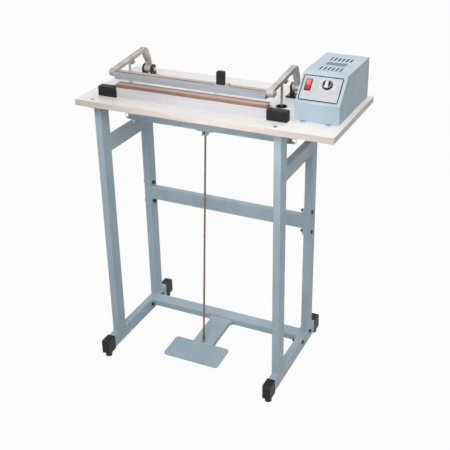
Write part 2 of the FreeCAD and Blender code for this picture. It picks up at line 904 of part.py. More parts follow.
def ribbon_terminals():
    posts = []
    for name, side in SIDES.items():
        x = f"seal_shift + {side} * ({BLOCK_EDGE} + terminal_reach)"
        post = new_body(f"{name}_terminal_post", x, "bed_shift", "table_height")
        sketch = new_sketch(post, "XY")
        centred(sketch, "terminal_size", "terminal_size")
        pad(post, sketch, "terminal_height")
        screw = new_body(
            f"{name}_terminal_screw", x, "bed_shift", "table_height + terminal_height + ribbon_thick",
        )
        sketch = new_sketch(screw, "XY")
        circle(sketch, "0", "0", "terminal_screw_radius")
        pad(screw, sketch, "terminal_screw_height")
        posts += [post, screw]
    group("ribbon_terminals", posts)


# Rear pivots

def pivot_bracket(name, side):
    """Pressed bracket: a foot plate and two round-topped ears."""
    x = f"seal_shift + {side} * arm_spread / 2"
    body = node(new_body(f"{name}_pivot_bracket", x, "pivot_shift", "table_height"))
    sketch = new_sketch(body, "XY")
    centred(sketch, "bracket_width", "bracket_depth")
    for across in (-1, 1):
        for along in (-1, 1):
            spot = (f"{across} * bracket_screw_spread / 2", f"{along} * bracket_screw_stagger / 2")
            circle(sketch, spot[0], spot[1], "base_screw_radius + hole_gap")
    pad(body, sketch, "bracket_thick")
    for lift in ("ear_gap / 2", "-ear_gap / 2 - ear_thick"):
        sketch = new_sketch(body, "YZ", lift)
        rectangle(sketch, "-ear_radius", "bracket_thick", "ear_radius", "pivot_height")
        pad(body, sketch, "ear_thick")
        sketch = new_sketch(body, "YZ", lift)
        circle(sketch, "0", "pivot_height", "ear_radius")
        pad(body, sketch, "ear_thick")
    sketch = new_sketch(body, "YZ")
    circle(sketch, "0", "pivot_height", "pin_radius + pin_gap")
    pocket(body, sketch)


def pivot_pins():
    pins = []
    span = "ear_gap + 2 * ear_thick"
    for name, side in SIDES.items():
        x = f"seal_shift + {side} * arm_spread / 2"
        pin = new_body(f"{name}_pivot_pin", x, "pivot_shift", "table_height + pivot_height")
        sketch = new_sketch(pin, "YZ")
        circle(sketch, "0", "0", "pin_radius")
        pad(pin, sketch, span, both_ways=True)
        for lift in (f"({span}) / 2", f"-({span}) / 2 - pin_head_height"):
            sketch = new_sketch(pin, "YZ", lift)
            hexagon(sketch, "pin_head_radius")
            pad(pin, sketch, "pin_head_height")
        pins.append(pin)
    group("pivot_pins", pins)


# Press arms and upper jaw, in a frame whose origin is on the pivot axis

def head_body(label, x="seal_shift"):
    return new_body(label, x, "pivot_shift", "table_height + pivot_height", BACK_ACROSS, "open_angle")


def arm(name, side):
    """Cast arm: a hub on the pivot, a crooked limb, a lug for the pull rod and a boss at the tip."""
    body = node(head_body(f"{name}_arm", f"seal_shift + {side} * arm_spread / 2"))
    apex = ("apex_back", "apex_rise")
    crook = ("apex_back - 1.2 * limb_depth", "apex_rise - 1.22 * limb_depth")
    sketch = new_sketch(body, "YZ")
    outline(sketch, [
        ("0.7 * hub_radius", "0"),
        ("0.2 * limb_depth", "0.42 * apex_rise"),
        apex,
        (f"{BAR_MID} - 0.3 * boss_radius", f"{BOSS_UP} + 0.9 * boss_radius"),
        (f"{BAR_MID} + 0.9 * boss_radius", BOSS_UP),
        crook,
        ("-limb_depth", "0.36 * apex_rise"),
        ("-0.7 * hub_radius", "0"),
    ])
    pad(body, sketch, "arm_thick", both_ways=True)
    soften(body, edges_near(body, "X", [apex]), "apex_round")
    soften(body, edges_near(body, "X", [crook]), "crook_round")
    flanks = [
        f"Face{index}" for index, face in enumerate(body.Tip.Shape.Faces, start=1)
        if abs(abs(face.CenterOfMass.x) - number("arm_thick / 2")) < 0.01
    ]
    soften(body, flanks, "arm_edge_round")
    for y, z, radius, length in (
        ("0", "0", "hub_radius", "hub_length"),
        (BAR_MID, BOSS_UP, "boss_radius", "boss_length"),
        (LUG_OUT, LUG_UP, "lug_radius", "lug_thick"),
    ):
        sketch = new_sketch(body, "YZ")
        circle(sketch, y, z, radius)
        pad(body, sketch, length, both_ways=True)
    sketch = new_sketch(body, "YZ")
    rectangle(sketch, f"{LUG_OUT} - lug_radius", LUG_UP, f"{LUG_OUT} + lug_radius", f"{LUG_UP} + limb_depth")
    pad(body, sketch, "lug_thick", both_ways=True)
    sketch = new_sketch(body, "YZ")
    circle(sketch, "0", "0", "pin_radius + pin_gap")
    circle(sketch, BAR_MID, BOSS_UP, "bar_bolt_radius + hole_gap")
    circle(sketch, LUG_OUT, LUG_UP, "rod_radius + rod_pin_gap")
    pocket(body, sketch)


def upper_bar():
    """Extruded jaw with a slot for the cutter's blade near its front."""
    body = node(head_body("upper_bar"))
    low = BAR_LOW
    sketch = new_sketch(body, "YZ")
    rectangle(sketch, f"{BAR_MID} - bar_depth / 2", low, f"{BAR_MID} + bar_depth / 2", f"{low} + bar_height")
    pad(body, sketch, JAW_LENGTH, both_ways=True)
    soften(body, outer_edges(body, "X"), "bar_edge_round")
    sketch = new_sketch(body, "XY")
    centred(sketch, f"{JAW_LENGTH} - 2 * slot_margin", "slot_width", "0", SLOT_MID)
    pocket(body, sketch)
    for lift, back in ((f"{JAW_LENGTH} / 2", False), (f"-{JAW_LENGTH} / 2", True)):
        sketch = new_sketch(body, "YZ", lift)
        circle(sketch, BAR_MID, BOSS_UP, "bar_bolt_radius + pin_gap")
        pocket(body, sketch, "bar_bolt_grip + hole_gap", back=back)


def silicone_strip():
    body = node(head_body("silicone_strip"))
    middle = "(bed_shift - pivot_shift)"
    sketch = new_sketch(body, "YZ")
    rectangle(
        sketch, f"{middle} - strip_width / 2", f"{BAR_LOW} - strip_thick", f"{middle} + strip_width / 2", BAR_LOW,
    )
    pad(body, sketch, f"{JAW_LENGTH} - 2 * slot_margin", both_ways=True)


def bar_bolts():
    bolts = []
    for name, side in SIDES.items():
        bolt = head_body(f"{name}_bar_bolt", f"seal_shift + {side} * arm_spread / 2")
        face = "boss_length / 2" if side > 0 else "-boss_length / 2"
        sketch = new_sketch(bolt, "YZ", face)
        hexagon(sketch, "bar_bolt_head", BAR_MID, BOSS_UP)
        pad(bolt, sketch, "bar_bolt_head_height", back=side < 0)
        sketch = new_sketch(bolt, "YZ", face)
        circle(sketch, BAR_MID, BOSS_UP, "bar_bolt_radius")
        pad(bolt, sketch, "boss_length + bar_bolt_grip", back=side > 0)
        bolts.append(bolt)
    group("bar_bolts", bolts)


# Cutter

def cutter_knob():
    """Ribbed grip that stands on the slider."""
    body = node(head_body("cutter_knob", "cutter_shift"))
    foot = f"({BAR_LOW} + bar_height + slider_gap + slider_thick)"
    sketch = new_sketch(body, "XZ", f"-{SLOT_MID}")
    rectangle(sketch, "-knob_width / 2", foot, "knob_width / 2", f"{foot} + knob_height")
    pad(body, sketch, "knob_depth", both_ways=True)
    crown = [("-knob_width / 2", f"{foot} + knob_height"), ("knob_width / 2", f"{foot} + knob_height")]
    soften(body, edges_near(body, "Y", crown), "knob_round")
    for face, back in (("knob_depth / 2", False), ("-knob_depth / 2", True)):
        sketch = new_sketch(body, "XZ", f"{face} - {SLOT_MID}")
        for step in (-1.5, -0.5, 0.5, 1.5):
            centred(
                sketch, "knob_rib_width", "knob_height - 4 * knob_round",
                f"{step} * knob_rib_pitch", f"{foot} + knob_height / 2",
            )
        pocket(body, sketch, "knob_rib_depth", back=back)


def cutter_slider():
    """Slider on top of the bar with a tongue in its slot and a stop beside the grip."""
    body = node(head_body("cutter_slider", "cutter_shift"))
    seat = f"({BAR_LOW} + bar_height + slider_gap)"
    sketch = new_sketch(body, "XY", seat)
    centred(sketch, "slider_length", "slider_depth", "slider_offset", SLOT_MID)
    pad(body, sketch, "slider_thick")
    sketch = new_sketch(body, "XY", f"{seat} - tongue_drop")
    centred(
        sketch, "slider_length - blade_width", "slot_width - 2 * slider_gap",
        "slider_offset + blade_width / 2 + slider_gap", SLOT_MID,
    )
    pad(body, sketch, "tongue_drop")
    sketch = new_sketch(body, "XY", seat)
    stop_x = "slider_offset + (slider_length - slider_stop_length) / 2"
    centred(sketch, "slider_stop_length", "slider_depth - 4 * slider_gap", stop_x, SLOT_MID)
    pad(body, sketch, "slider_stop_height")


def cutter_blade():
    """Thin blade that hangs through the slot in front of the lower jaw, with a raked point."""
    body = node(head_body("cutter_blade", "cutter_shift"))
    top = f"({BAR_LOW} + bar_height + slider_gap)"
    tip = f"({BAR_LOW} - blade_reach)"
    rear_edge = "(slider_offset - slider_length / 2)"
    sketch = new_sketch(body, "XZ", f"-{SLOT_MID}")
    outline(sketch, [
        (rear_edge, top),
        (f"{rear_edge} + blade_width", top),
        (f"{rear_edge} + blade_width", f"{tip} + blade_rise"),
        (rear_edge, tip),
    ])
    pad(body, sketch, "blade_thick", both_ways=True)


# Pull linkage

def pull_rod(name, side):
    """Rod whose bent top goes through the arm's lug; it runs down through the board to the beam."""
    x = f"seal_shift + {side} * arm_spread / 2"
    body = node(new_body(f"{name}_pull_rod", x, "rod_shift", "table_height + rod_pin_height"))
    sketch = new_sketch(body, "XY", "-rod_bend_radius")
    circle(sketch, "-rod_offset", "0", "rod_radius")
    reach = f"table_height + rod_pin_height - rod_bend_radius - {BEAM_BOTTOM}"
    pad(body, sketch, f"{reach} + rod_nut_height + rod_tail", back=True)
    sketch = new_sketch(body, "XY", "-rod_bend_radius")
    bind(sketch, "AttachmentOffset.Base.x", "rod_bend_radius - rod_offset")
    circle(sketch, "-rod_bend_radius", "0", "rod_radius")
    revolve(body, sketch, "V_Axis", 90)
    sketch = new_sketch(body, "YZ", "rod_bend_radius - rod_offset")
    circle(sketch, "0", "0", "rod_radius")
    pad(body, sketch, "rod_offset - rod_bend_radius + lug_thick / 2 + clip_gap + clip_thick + rod_end")


def rod_clips():
    """Retaining rings on the rods' bent ends."""
    clips = []
    for name, side in SIDES.items():
        x = f"seal_shift + {side} * arm_spread / 2"
        clip = new_body(f"{name}_rod_clip", x, "rod_shift", "table_height + rod_pin_height")
        sketch = new_sketch(clip, "YZ", "lug_thick / 2 + clip_gap")
        circle(sketch, "0", "0", "clip_radius")
        circle(sketch, "0", "0", "rod_radius + pin_gap")
        pad(clip, sketch, "clip_thick")
        clips.append(clip)
    group("rod_clips", clips)


def pull_rod_nuts():
    nuts = []
    for name, side in SIDES.items():
        x = f"seal_shift + {side} * arm_spread / 2 - rod_offset"
        for end, z in (
            ("upper", f"{BEAM_MID} + beam_tall / 2"),
            ("lower", f"{BEAM_BOTTOM} - rod_nut_height"),
        ):
            nut = new_body(f"{name}_{end}_rod_nut", x, "rod_shift", z)
            sketch = new_sketch(nut, "XY")
            hexagon(sketch, "rod_nut_radius")
            circle(sketch, "0", "0", "rod_radius + pin_gap")
            pad(nut, sketch, "rod_nut_height")
            nuts.append(nut)
    group("pull_rod_nuts", nuts)


def pull_beam():
    """Tube under the board with a spring hook tab at each end."""
    body = node(new_body("pull_beam", "seal_shift", "rod_shift", BEAM_MID))
    sketch = new_sketch(body, "YZ")
    centred(sketch, "beam_depth", "beam_tall")
    centred(sketch, "beam_depth - 2 * beam_wall", "beam_tall - 2 * beam_wall")
    pad(body, sketch, BEAM_LENGTH, both_ways=True)
    soften(body, outer_edges(body, "X"), "beam_wall")
    hole = f"({SPRING_PLACE} - hook_web / 2 - hook_hole_radius)"
    for side in SIDES.values():
        sketch = new_sketch(body, "XY", "-beam_tall / 2")
        root = f"{side} * ({BEAM_LENGTH} / 2 - hook_width)"
        tip = f"{side} * ({SPRING_PLACE} + hook_web / 2)"
        rectangle(sketch, root, "-hook_width / 2", tip, "hook_width / 2")
        circle(sketch, f"{side} * {hole}", "0", "hook_hole_radius")
        pad(body, sketch, "hook_thick")
    sketch = new_sketch(body, "XY")
    for side in SIDES.values():
        circle(sketch, f"{side} * arm_spread / 2 - rod_offset", "0", "rod_radius + hole_gap")
    pocket(body, sketch)


def beam_bracket():
    """Small bracket under the beam with two cheeks for the pedal rod's pin."""
    body = node(new_body("beam_bracket", "stand_shift", "rod_shift", BEAM_BOTTOM))
    sketch = new_sketch(body, "XY")
    centred(sketch, "rod_bracket_length", "rod_bracket_depth")
    pad(body, sketch, "rod_bracket_thick", back=True)
    for lift in ("cheek_gap / 2", "-cheek_gap / 2 - cheek_thick"):
        sketch = new_sketch(body, "YZ", lift)
        rectangle(
            sketch, "-rod_bracket_depth / 2", "-cheek_drop", "rod_bracket_depth / 2", "-rod_bracket_thick",
        )
        circle(sketch, "0", "-bracket_pin_drop", "bracket_pin_radius + pin_gap")
        pad(body, sketch, "cheek_thick")


def bracket_pin():
    body = node(new_body("bracket_pin", "stand_shift", "rod_shift", ROD_HEAD_UP))
    span = "cheek_gap + 2 * cheek_thick"
    sketch = new_sketch(body, "YZ")
    circle(sketch, "0", "0", "bracket_pin_radius")
    pad(body, sketch, span, both_ways=True)
    for lift in (f"({span}) / 2", f"-({span}) / 2 - bracket_pin_head_height"):
        sketch = new_sketch(body, "YZ", lift)
        circle(sketch, "0", "0", "bracket_pin_head")
        pad(body, sketch, "bracket_pin_head_height")


def rod_frame(label):
    """Body whose origin is on the pedal rod's upper pin and whose -Z runs down the rod."""
    return new_body(label, "stand_shift", "rod_shift", ROD_HEAD_UP, BACK_ACROSS, ROD_LEAN)


def pedal_rod():
    body = node(rod_frame("pedal_rod"))
    sketch = new_sketch(body, "YZ")
    circle(sketch, "0", "0", "rod_eye_radius")
    pad(body, sketch, "rod_eye_thick", both_ways=True)
    sketch = new_sketch(body, "XY")
    circle(sketch, "0", "0", "pedal_rod_radius")
    pad(body, sketch, f"{ROD_REACH} + pedal_rod_tail", back=True)
    sketch = new_sketch(body, "YZ")
    circle(sketch, "0", "0", "bracket_pin_radius + pin_gap")
    pocket(body, sketch)


def pedal_rod_nuts():
    nuts = []
    clear = "sheet_thick / 2 + pedal_nut_gap"
    for end, z in (
        ("upper", f"{clear} - {ROD_REACH}"),
        ("lower", f"-{ROD_REACH} - ({clear}) - pedal_nut_height"),
    ):
        nut = rod_frame(f"{end}_pedal_nut")
        sketch = new_sketch(nut, "XY", z)
        hexagon(sketch, "pedal_nut_radius")
        circle(sketch, "0", "0", "pedal_rod_radius + pin_gap")
        pad(nut, sketch, "pedal_nut_height")
        nuts.append(nut)
    group("pedal_rod_nuts", nuts)


def pedal():
    """Pressed pedal: a wide tread on a stem with turned-down sides, hinged at its rear."""
    body = node(new_body("pedal", "stand_shift", "hinge_shift", "hinge_height", ACROSS, "pedal_tilt"))
    tread_back = "-pedal_stem"
    tread_front = "-pedal_stem - pedal_depth"
    half_stem = "stem_width / 2"
    half_tread = "pedal_width / 2"
    sketch = new_sketch(body, "XY", "plate_lift")
    outline(sketch, [
        (f"-{half_stem}", "pedal_tail"),
        (f"-{half_stem}", tread_back),
        (f"-{half_tread}", tread_back),
        (f"-{half_tread}", tread_front),
        (half_tread, tread_front),
        (half_tread, tread_back),
        (half_stem, tread_back),
        (half_stem, "pedal_tail"),
    ])
    pad(body, sketch, "sheet_thick")
    corners = [(f"{side} * pedal_width / 2", y) for side in (-1, 1) for y in (tread_front, tread_back)]
    soften(body, edges_near(body, "Z", corners), "pedal_corner")
    for lift in ("stem_width / 2 - sheet_thick", "-stem_width / 2"):
        sketch = new_sketch(body, "YZ", lift)
        rectangle(sketch, "stem_flange_end - pedal_stem", "-stem_flange_drop", "pedal_tail", "plate_lift")
        circle(sketch, "0", "0", "hinge_pin_radius + pin_gap")
        pad(body, sketch, "sheet_thick")
    sketch = new_sketch(body, "XY")
    circle(sketch, "0", "-pedal_rod_reach", "pedal_rod_radius + pedal_hole_gap")
    pocket(body, sketch)


def pedal_hinge_pin():
    body = node(new_body("pedal_hinge_pin", "stand_shift", "hinge_shift", "hinge_height"))
    span = "stem_width + 2 * hinge_lug_gap + 2 * hinge_lug_thick"
    sketch = new_sketch(body, "YZ")
    circle(sketch, "0", "0", "hinge_pin_radius")
    pad(body, sketch, span, both_ways=True)
    for lift in (f"({span}) / 2", f"-({span}) / 2 - hinge_pin_head_height"):
        sketch = new_sketch(body, "YZ", lift)
        circle(sketch, "0", "0", "hinge_pin_head")
        pad(body, sketch, "hinge_pin_head_height")


def ring(body, radius, wire, lift, axis):
    """Upright wire ring, turned about the X or the Y axis of a level sketch."""
    sketch = new_sketch(body, "XY", lift)
    spot = (radius, "0") if axis == "V_Axis" else ("0", radius)
    circle(sketch, spot[0], spot[1], wire)
    revolve(body, sketch, axis, 360)


def return_spring(name, side):
    """Tension spring: a coil with a round loop at each end."""
    low = f"({LOOP_LOW} + loop_radius)"
    height = f"({LOOP_HIGH} - loop_radius - {low})"
    body = node(new_body(
        f"{name}_return_spring", f"seal_shift + {side} * {SPRING_PLACE}", "rod_shift", low,
    ))
    sketch = new_sketch(body, "XZ")
    circle(sketch, "loop_radius", "0", "wire_radius")
    coil = body.newObject("PartDesign::AdditiveHelix", f"{body.Name}_coil")
    coil.Profile = sketch
    coil.ReferenceAxis = (sketch, ["V_Axis"])
    coil.Mode = "height-turns-angle"
    bind(coil, "Height", height)
    bind(coil, "Turns", "spring_turns")
    doc.recompute()
    for lift, start in (("-loop_radius", "-loop_radius"), (f"{height} + loop_radius", height)):
        sketch = new_sketch(body, "XY", start)
        circle(sketch, "loop_radius", "0", "wire_radius")
        pad(body, sketch, "loop_radius")
        ring(body, "loop_radius", "wire_radius", lift, "V_Axis")


def spring_eyes():
    """Screw eyes in the underside of the board that hold the springs' upper loops."""
    eyes = []
    for name, side in SIDES.items():
        x = f"seal_shift + {side} * {SPRING_PLACE}"
        eye = new_body(f"{name}_spring_eye", x, "rod_shift", EYE_HEIGHT)
        sketch = new_sketch(eye, "XY", "eye_radius")
        circle(sketch, "0", "0", "eye_wire")
        pad(eye, sketch, "eye_drop - eye_radius + eye_shank - pin_gap")
        ring(eye, "eye_radius", "eye_wire", "0", "H_Axis")
        eyes.append(eye)
    group("spring_eyes", eyes)


# Limit switch

LEVER_UP = f"({BEAM_MID} + beam_tall / 2 + lever_gap + lever_thick + lever_barrel / 2)"
SWITCH_BACK = "(rod_shift + beam_depth / 2)"


def limit_switch():
    """Switch block on a hanging plate behind the beam."""
    low = f"({LEVER_UP} + lever_barrel + switch_seat_gap)"
    block = new_body("switch_block", "switch_place", SWITCH_BACK, low)
    sketch = new_sketch(block, "XY")
    rectangle(sketch, "-switch_width / 2", "0", "switch_width / 2", "switch_depth")
    pad(block, sketch, "switch_tall")
    plate = new_body("switch_plate", "switch_place", f"{SWITCH_BACK} + switch_depth", low)
    drop = f"{TABLE_BOTTOM} - {low}"
    sketch = new_sketch(plate, "YZ")
    outline(sketch, [
        ("0", "0"),
        ("switch_plate", "0"),
        ("switch_plate", f"{drop} - switch_plate"),
        ("switch_flange", f"{drop} - switch_plate"),
        ("switch_flange", drop),
        ("0", drop),
    ])
    pad(plate, sketch, "switch_width", both_ways=True)
    group("limit_switch", [block, plate])


def switch_lever():
    body = node(new_body("switch_lever", "switch_place", f"{SWITCH_BACK} + 2 * lever_barrel", LEVER_UP))
    sketch = new_sketch(body, "YZ")
    circle(sketch, "0", "0", "lever_barrel")
    pad(body, sketch, "lever_width", both_ways=True)
    sketch = new_sketch(body, "YZ")
    rectangle(sketch, "-lever_length", "-lever_barrel / 2 - lever_thick", "0", "-lever_barrel / 2")
    pad(body, sketch, "lever_width", both_ways=True)


# Control box

def slope_sketch(body, across="0", along="0"):
    """Sketch on the cover's sloped face, with its origin at a spot on that face."""
    sketch = new_sketch(body, "XY")
    middle_y = "box_slope_run / 2"
    middle_z = f"(box_lip + {SLOPE_RISE} / 2)"
    turn = FreeCAD.Rotation(FreeCAD.Vector(1, 0, 0), number(SLOPE_ANGLE))
    sketch.AttachmentOffset = FreeCAD.Placement(FreeCAD.Vector(), turn)
    bind(sketch, "AttachmentOffset.Rotation.Angle", SLOPE_ANGLE)
    bind(sketch, "AttachmentOffset.Base.x", across)
    bind(sketch, "AttachmentOffset.Base.y", f"{middle_y} + {along} * cos({SLOPE_ANGLE})")
    bind(sketch, "AttachmentOffset.Base.z", f"{middle_z} + {along} * sin({SLOPE_ANGLE})")
    return sketch


def slope_body(label, across, along, out="0"):
    """Body standing on the sloped face, +Z out of the face."""
    run = f"{along} * cos({SLOPE_ANGLE}) - ({out}) * sin({SLOPE_ANGLE})"
    rise = f"{along} * sin({SLOPE_ANGLE}) + ({out}) * cos({SLOPE_ANGLE})"
    return new_body(
        label, f"{BOX_MID} + {across}", f"box_front + box_slope_run / 2 + {run}",
        f"table_height + box_lip + {SLOPE_RISE} / 2 + {rise}", ACROSS, SLOPE_ANGLE,
    )


def control_cover():
    """Folded sheet cover with a sloped front, vent slots in its top and an open bottom."""
    body = node(new_body("control_cover", BOX_MID, "box_front", "table_height"))
    sketch = new_sketch(body, "YZ")
    outline(sketch, [
        ("0", "0"),
        ("box_depth", "0"),
        ("box_depth", "box_height"),
        ("box_slope_run", "box_height"),
        ("0", "box_lip"),
    ])
    pad(body, sketch, "box_width", both_ways=True)
    rounded = [("box_depth", "box_height"), ("box_slope_run", "box_height"), ("0", "box_lip")]
    soften(body, edges_near(body, "X", rounded), "box_edge_round")
    floor_face = [
        f"Face{index}" for index, face in enumerate(body.Tip.Shape.Faces, start=1)
        if abs(face.CenterOfMass.z) < 0.01
    ]
    shell = body.newObject("PartDesign::Thickness", "control_cover_shell")
    shell.Base = (body.Tip if body.Tip != shell else shell.BaseFeature, floor_face)
    shell.Reversed = True
    bind(shell, "Value", "box_wall")
    doc.recompute()
    sketch = new_sketch(body, "XY", "box_height")
    for row in ("vent_front_row", "vent_rear_row"):
        for step in (-2.5, -1.5, -0.5, 0.5, 1.5, 2.5):
            centred(sketch, "vent_width", "vent_length", f"{step} * vent_pitch", row)
    pocket(body, sketch, "2 * box_wall")
    sketch = slope_sketch(body, "rocker_across", "rocker_along")
    centred(sketch, "rocker_width + 2 * rocker_gap + 2 * bezel_wall + 2 * hole_gap",
            "rocker_length + 2 * rocker_swing_gap + 2 * bezel_wall + 2 * hole_gap")
    pocket(body, sketch, "2 * box_wall")
    sketch = slope_sketch(body, "knob_across", "knob_along")
    circle(sketch, "0", "0", "spindle_radius + spindle_hole_gap")
    pocket(body, sketch, "2 * box_wall")
    sketch = new_sketch(body, "XZ", "-box_depth")
    circle(sketch, "0", "gland_height", "gland_radius + hole_gap")
    pocket(body, sketch, "2 * box_wall", back=True)
    sketch = new_sketch(body, "XZ")
    for across in (-1, 1):
        x = f"{across} * base_tab_spread / 2"
        reach = "(base_tab_width / 2 + box_inner_gap)"
        rectangle(sketch, f"{x} - {reach}", "0", f"{x} + {reach}", "base_thick + box_inner_gap")
    pocket(body, sketch, "2 * box_wall")


def control_base():
    """Base plate inside the cover with two screw tabs in front."""
    body = node(new_body("control_base", BOX_MID, "box_front", "table_height"))
    edge = "box_wall + box_inner_gap"
    sketch = new_sketch(body, "XY")
    rectangle(sketch, f"{edge} - box_width / 2", edge, f"box_width / 2 - ({edge})", f"box_depth - ({edge})")
    pad(body, sketch, "base_thick")
    for across in (-1, 1):
        x = f"{across} * base_tab_spread / 2"
        sketch = new_sketch(body, "XY")
        rectangle(
            sketch, f"{x} - base_tab_width / 2", "-base_tab_reach", f"{x} + base_tab_width / 2", "base_tab_width",
        )
        circle(sketch, x, "-base_tab_screw", "base_screw_radius + hole_gap")
        pad(body, sketch, "base_thick")


def control_panel():
    body = node(slope_body("control_panel", "panel_across", "panel_along"))
    sketch = new_sketch(body, "XY")
    centred(sketch, "panel_width", "panel_length")
    centred(
        sketch, "rocker_width + 2 * rocker_gap + 2 * bezel_wall + 2 * hole_gap",
        "rocker_length + 2 * rocker_swing_gap + 2 * bezel_wall + 2 * hole_gap",
        "rocker_across - panel_across", "rocker_along - panel_along",
    )
    circle(
        sketch, "knob_across - panel_across", "knob_along - panel_along", "spindle_radius + spindle_hole_gap",
    )
    pad(body, sketch, "panel_thick")


def rocker_bezel():
    """Switch body: a rim on the panel and a housing behind it, with a cavity for the rocker."""
    body = node(slope_body("rocker_bezel", "rocker_across", "rocker_along", "panel_thick"))
    inner = ("rocker_width + 2 * rocker_gap", "rocker_length + 2 * rocker_swing_gap")
    sketch = new_sketch(body, "XY")
    centred(sketch, "bezel_width", "bezel_length")
    pad(body, sketch, "bezel_rim")
    soften(body, outer_edges(body, "Z"), "bezel_rim")
    sketch = new_sketch(body, "XY")
    centred(sketch, f"{inner[0]} + 2 * bezel_wall", f"{inner[1]} + 2 * bezel_wall")
    pad(body, sketch, "switch_body_depth", back=True)
    sketch = new_sketch(body, "XY", "bezel_rim")
    centred(sketch, inner[0], inner[1])
    pocket(body, sketch, "bezel_rim + rocker_cavity")
    sketch = new_sketch(body, "YZ")
    circle(sketch, "0", "0", "trunnion_radius + pin_gap")
    pocket(body, sketch, f"{inner[0]} + 2 * trunnion_bite + 2 * pin_gap", both_ways=True)


def power_rocker():
    """Rocker with a shallow valley, resting on its lower half, on trunnions in the bezel."""
    angle = f"{SLOPE_ANGLE} + rocker_tilt * 1 deg"
    run = f"rocker_along * cos({SLOPE_ANGLE}) - panel_thick * sin({SLOPE_ANGLE})"
    rise = f"rocker_along * sin({SLOPE_ANGLE}) + panel_thick * cos({SLOPE_ANGLE})"
    body = node(new_body(
        "power_rocker", f"{BOX_MID} + rocker_across", f"box_front + box_slope_run / 2 + {run}",
        f"table_height + box_lip + {SLOPE_RISE} / 2 + {rise}", ACROSS, angle,
    ))
    half = "rocker_length / 2"
    sketch = new_sketch(body, "YZ")
    outline(sketch, [
        (f"-{half}", "-rocker_root"),
        (half, "-rocker_root"),
        (half, "rocker_rise"),
        ("0", "rocker_dip"),
        (f"-{half}", "rocker_rise"),
    ])
    pad(body, sketch, "rocker_width", both_ways=True)
    sketch = new_sketch(body, "YZ")
    circle(sketch, "0", "0", "trunnion_radius")
    pad(body, sketch, "rocker_width + 2 * rocker_gap + 2 * trunnion_bite", both_ways=True)


def timer_knob():
    """Round knob with a skirt and a pointer ridge, on a spindle through the panel."""
    body = node(slope_body("timer_knob", "knob_across", "knob_along", "panel_thick + dial_seat"))
    for radius, height in (("dial_skirt", "dial_skirt_height"), ("dial_radius", "dial_height")):
        sketch = new_sketch(body, "XY")
        circle(sketch, "0", "0", radius)
        pad(body, sketch, height)
    sketch = new_sketch(body, "XY", "dial_height")
    rectangle(
        sketch, "-dial_pointer_width / 2", "-dial_radius * cos(12)", "dial_pointer_width / 2", "dial_radius * cos(12)",
    )
    pad(body, sketch, "dial_pointer_height")
    sketch = new_sketch(body, "XY")
    circle(sketch, "0", "0", "spindle_radius")
    pad(body, sketch, "spindle_length", back=True)


def timer_board():
    """Circuit board carried by the potentiometer behind the panel."""
    body = node(slope_body("timer_board", "knob_across", "knob_along", "-box_wall"))
    sketch = new_sketch(body, "XY")
    circle(sketch, "0", "0", "pot_radius")
    pad(body, sketch, "pot_depth", back=True)
    sketch = new_sketch(body, "XY", "-pot_depth")
    centred(sketch, "board_width", "board_length", "pot_radius", "0")
    pad(body, sketch, "board_thick", back=True)
    sketch = new_sketch(body, "XY", "-pot_depth - board_thick")
    centred(sketch, "relay_width", "relay_length", "board_width / 4", "0")
    pad(body, sketch, "relay_height", back=True)
    sketch = new_sketch(body, "XY")
    circle(sketch, "0", "0", "spindle_radius + spindle_gap")
    pocket(body, sketch, "pot_depth")


def transformer():
    """Laminated core with its winding through both windows."""
    body = node(new_body(
        "transformer", BOX_MID, "box_front + transformer_place", "table_height + base_thick",
    ))
    sketch = new_sketch(body, "XZ")
    rectangle(sketch, "-core_width / 2", "0", "core_width / 2", "core_height")
    pad(body, sketch, "core_depth", both_ways=True)
    sketch = new_sketch(body, "XZ")
    centred(sketch, "winding_width", "winding_height", "0", "core_height / 2")
    pad(body, sketch, "winding_depth", both_ways=True)


def cable_gland():
    """Strain relief in the cover's rear wall with a bore for the supply cord."""
    body = node(new_body("cable_gland", BOX_MID, "box_front + box_depth", "table_height + gland_height"))
    for radius, reach, back in (
        ("gland_radius", "gland_reach", True),
        ("gland_nut_radius", "gland_nut_height", True),
        ("gland_radius", "box_wall + gland_nut_height", False),
    ):
        sketch = new_sketch(body, "XZ")
        circle(sketch, "0", "0", radius)
        pad(body, sketch, reach, back=back)
    sketch = new_sketch(body, "XZ")
    circle(sketch, "0", "0", "gland_bore")
    pocket(body, sketch)


legs()
rails_and_runners()
crossbars()
crossbar_bolts()
tabs_and_screws()
foot_caps()
tabletop()
base_screws()
seal_bed()
insulation_strip()
heating_ribbon()
ptfe_cover()
ribbon_terminals()
pivot_pins()
for side_name, side_sign in SIDES.items():
    end_block(side_name, side_sign)
    pivot_bracket(side_name, side_sign)
    arm(side_name, side_sign)
    pull_rod(side_name, side_sign)
    return_spring(side_name, side_sign)
upper_bar()
silicone_strip()
bar_bolts()
rod_clips()
cutter_knob()
cutter_slider()
cutter_blade()
pull_rod_nuts()
pull_beam()
beam_bracket()
bracket_pin()
pedal_rod()
pedal_rod_nuts()
pedal()
pedal_hinge_pin()
spring_eyes()
limit_switch()
switch_lever()
control_cover()
control_base()
control_panel()
rocker_bezel()
power_rocker()
timer_knob()
timer_board()
transformer()
cable_gland()

doc.recompute()
for thing in doc.Objects:
    if "Invalid" in thing.State or "Error" in thing.State:
        raise RuntimeError(f"{thing.Label} failed: {thing.State}")
for thing in nodes:
    if thing.Shape.isNull() or not thing.Shape.isValid():
        raise RuntimeError(f"{thing.Label} has no valid shape")
for thing in nodes:
    thing.Shape.exportStep(f"parts/{thing.Label}.step")
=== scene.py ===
# %% [markdown]
# # Dressing a foot-operated heat sealer
# The measured solids come from the CAD model and stay exactly where they are. This lesson gives
# each of them a finish, and adds what is too fine for solids: print, threads, welds, screw
# recesses, cloth. Everything is in metres, with +Z up and the operator on the -Y side.

# %% Load the frame
import json
import math

import bmesh
import bpy
from mathutils import Euler, Matrix, Vector


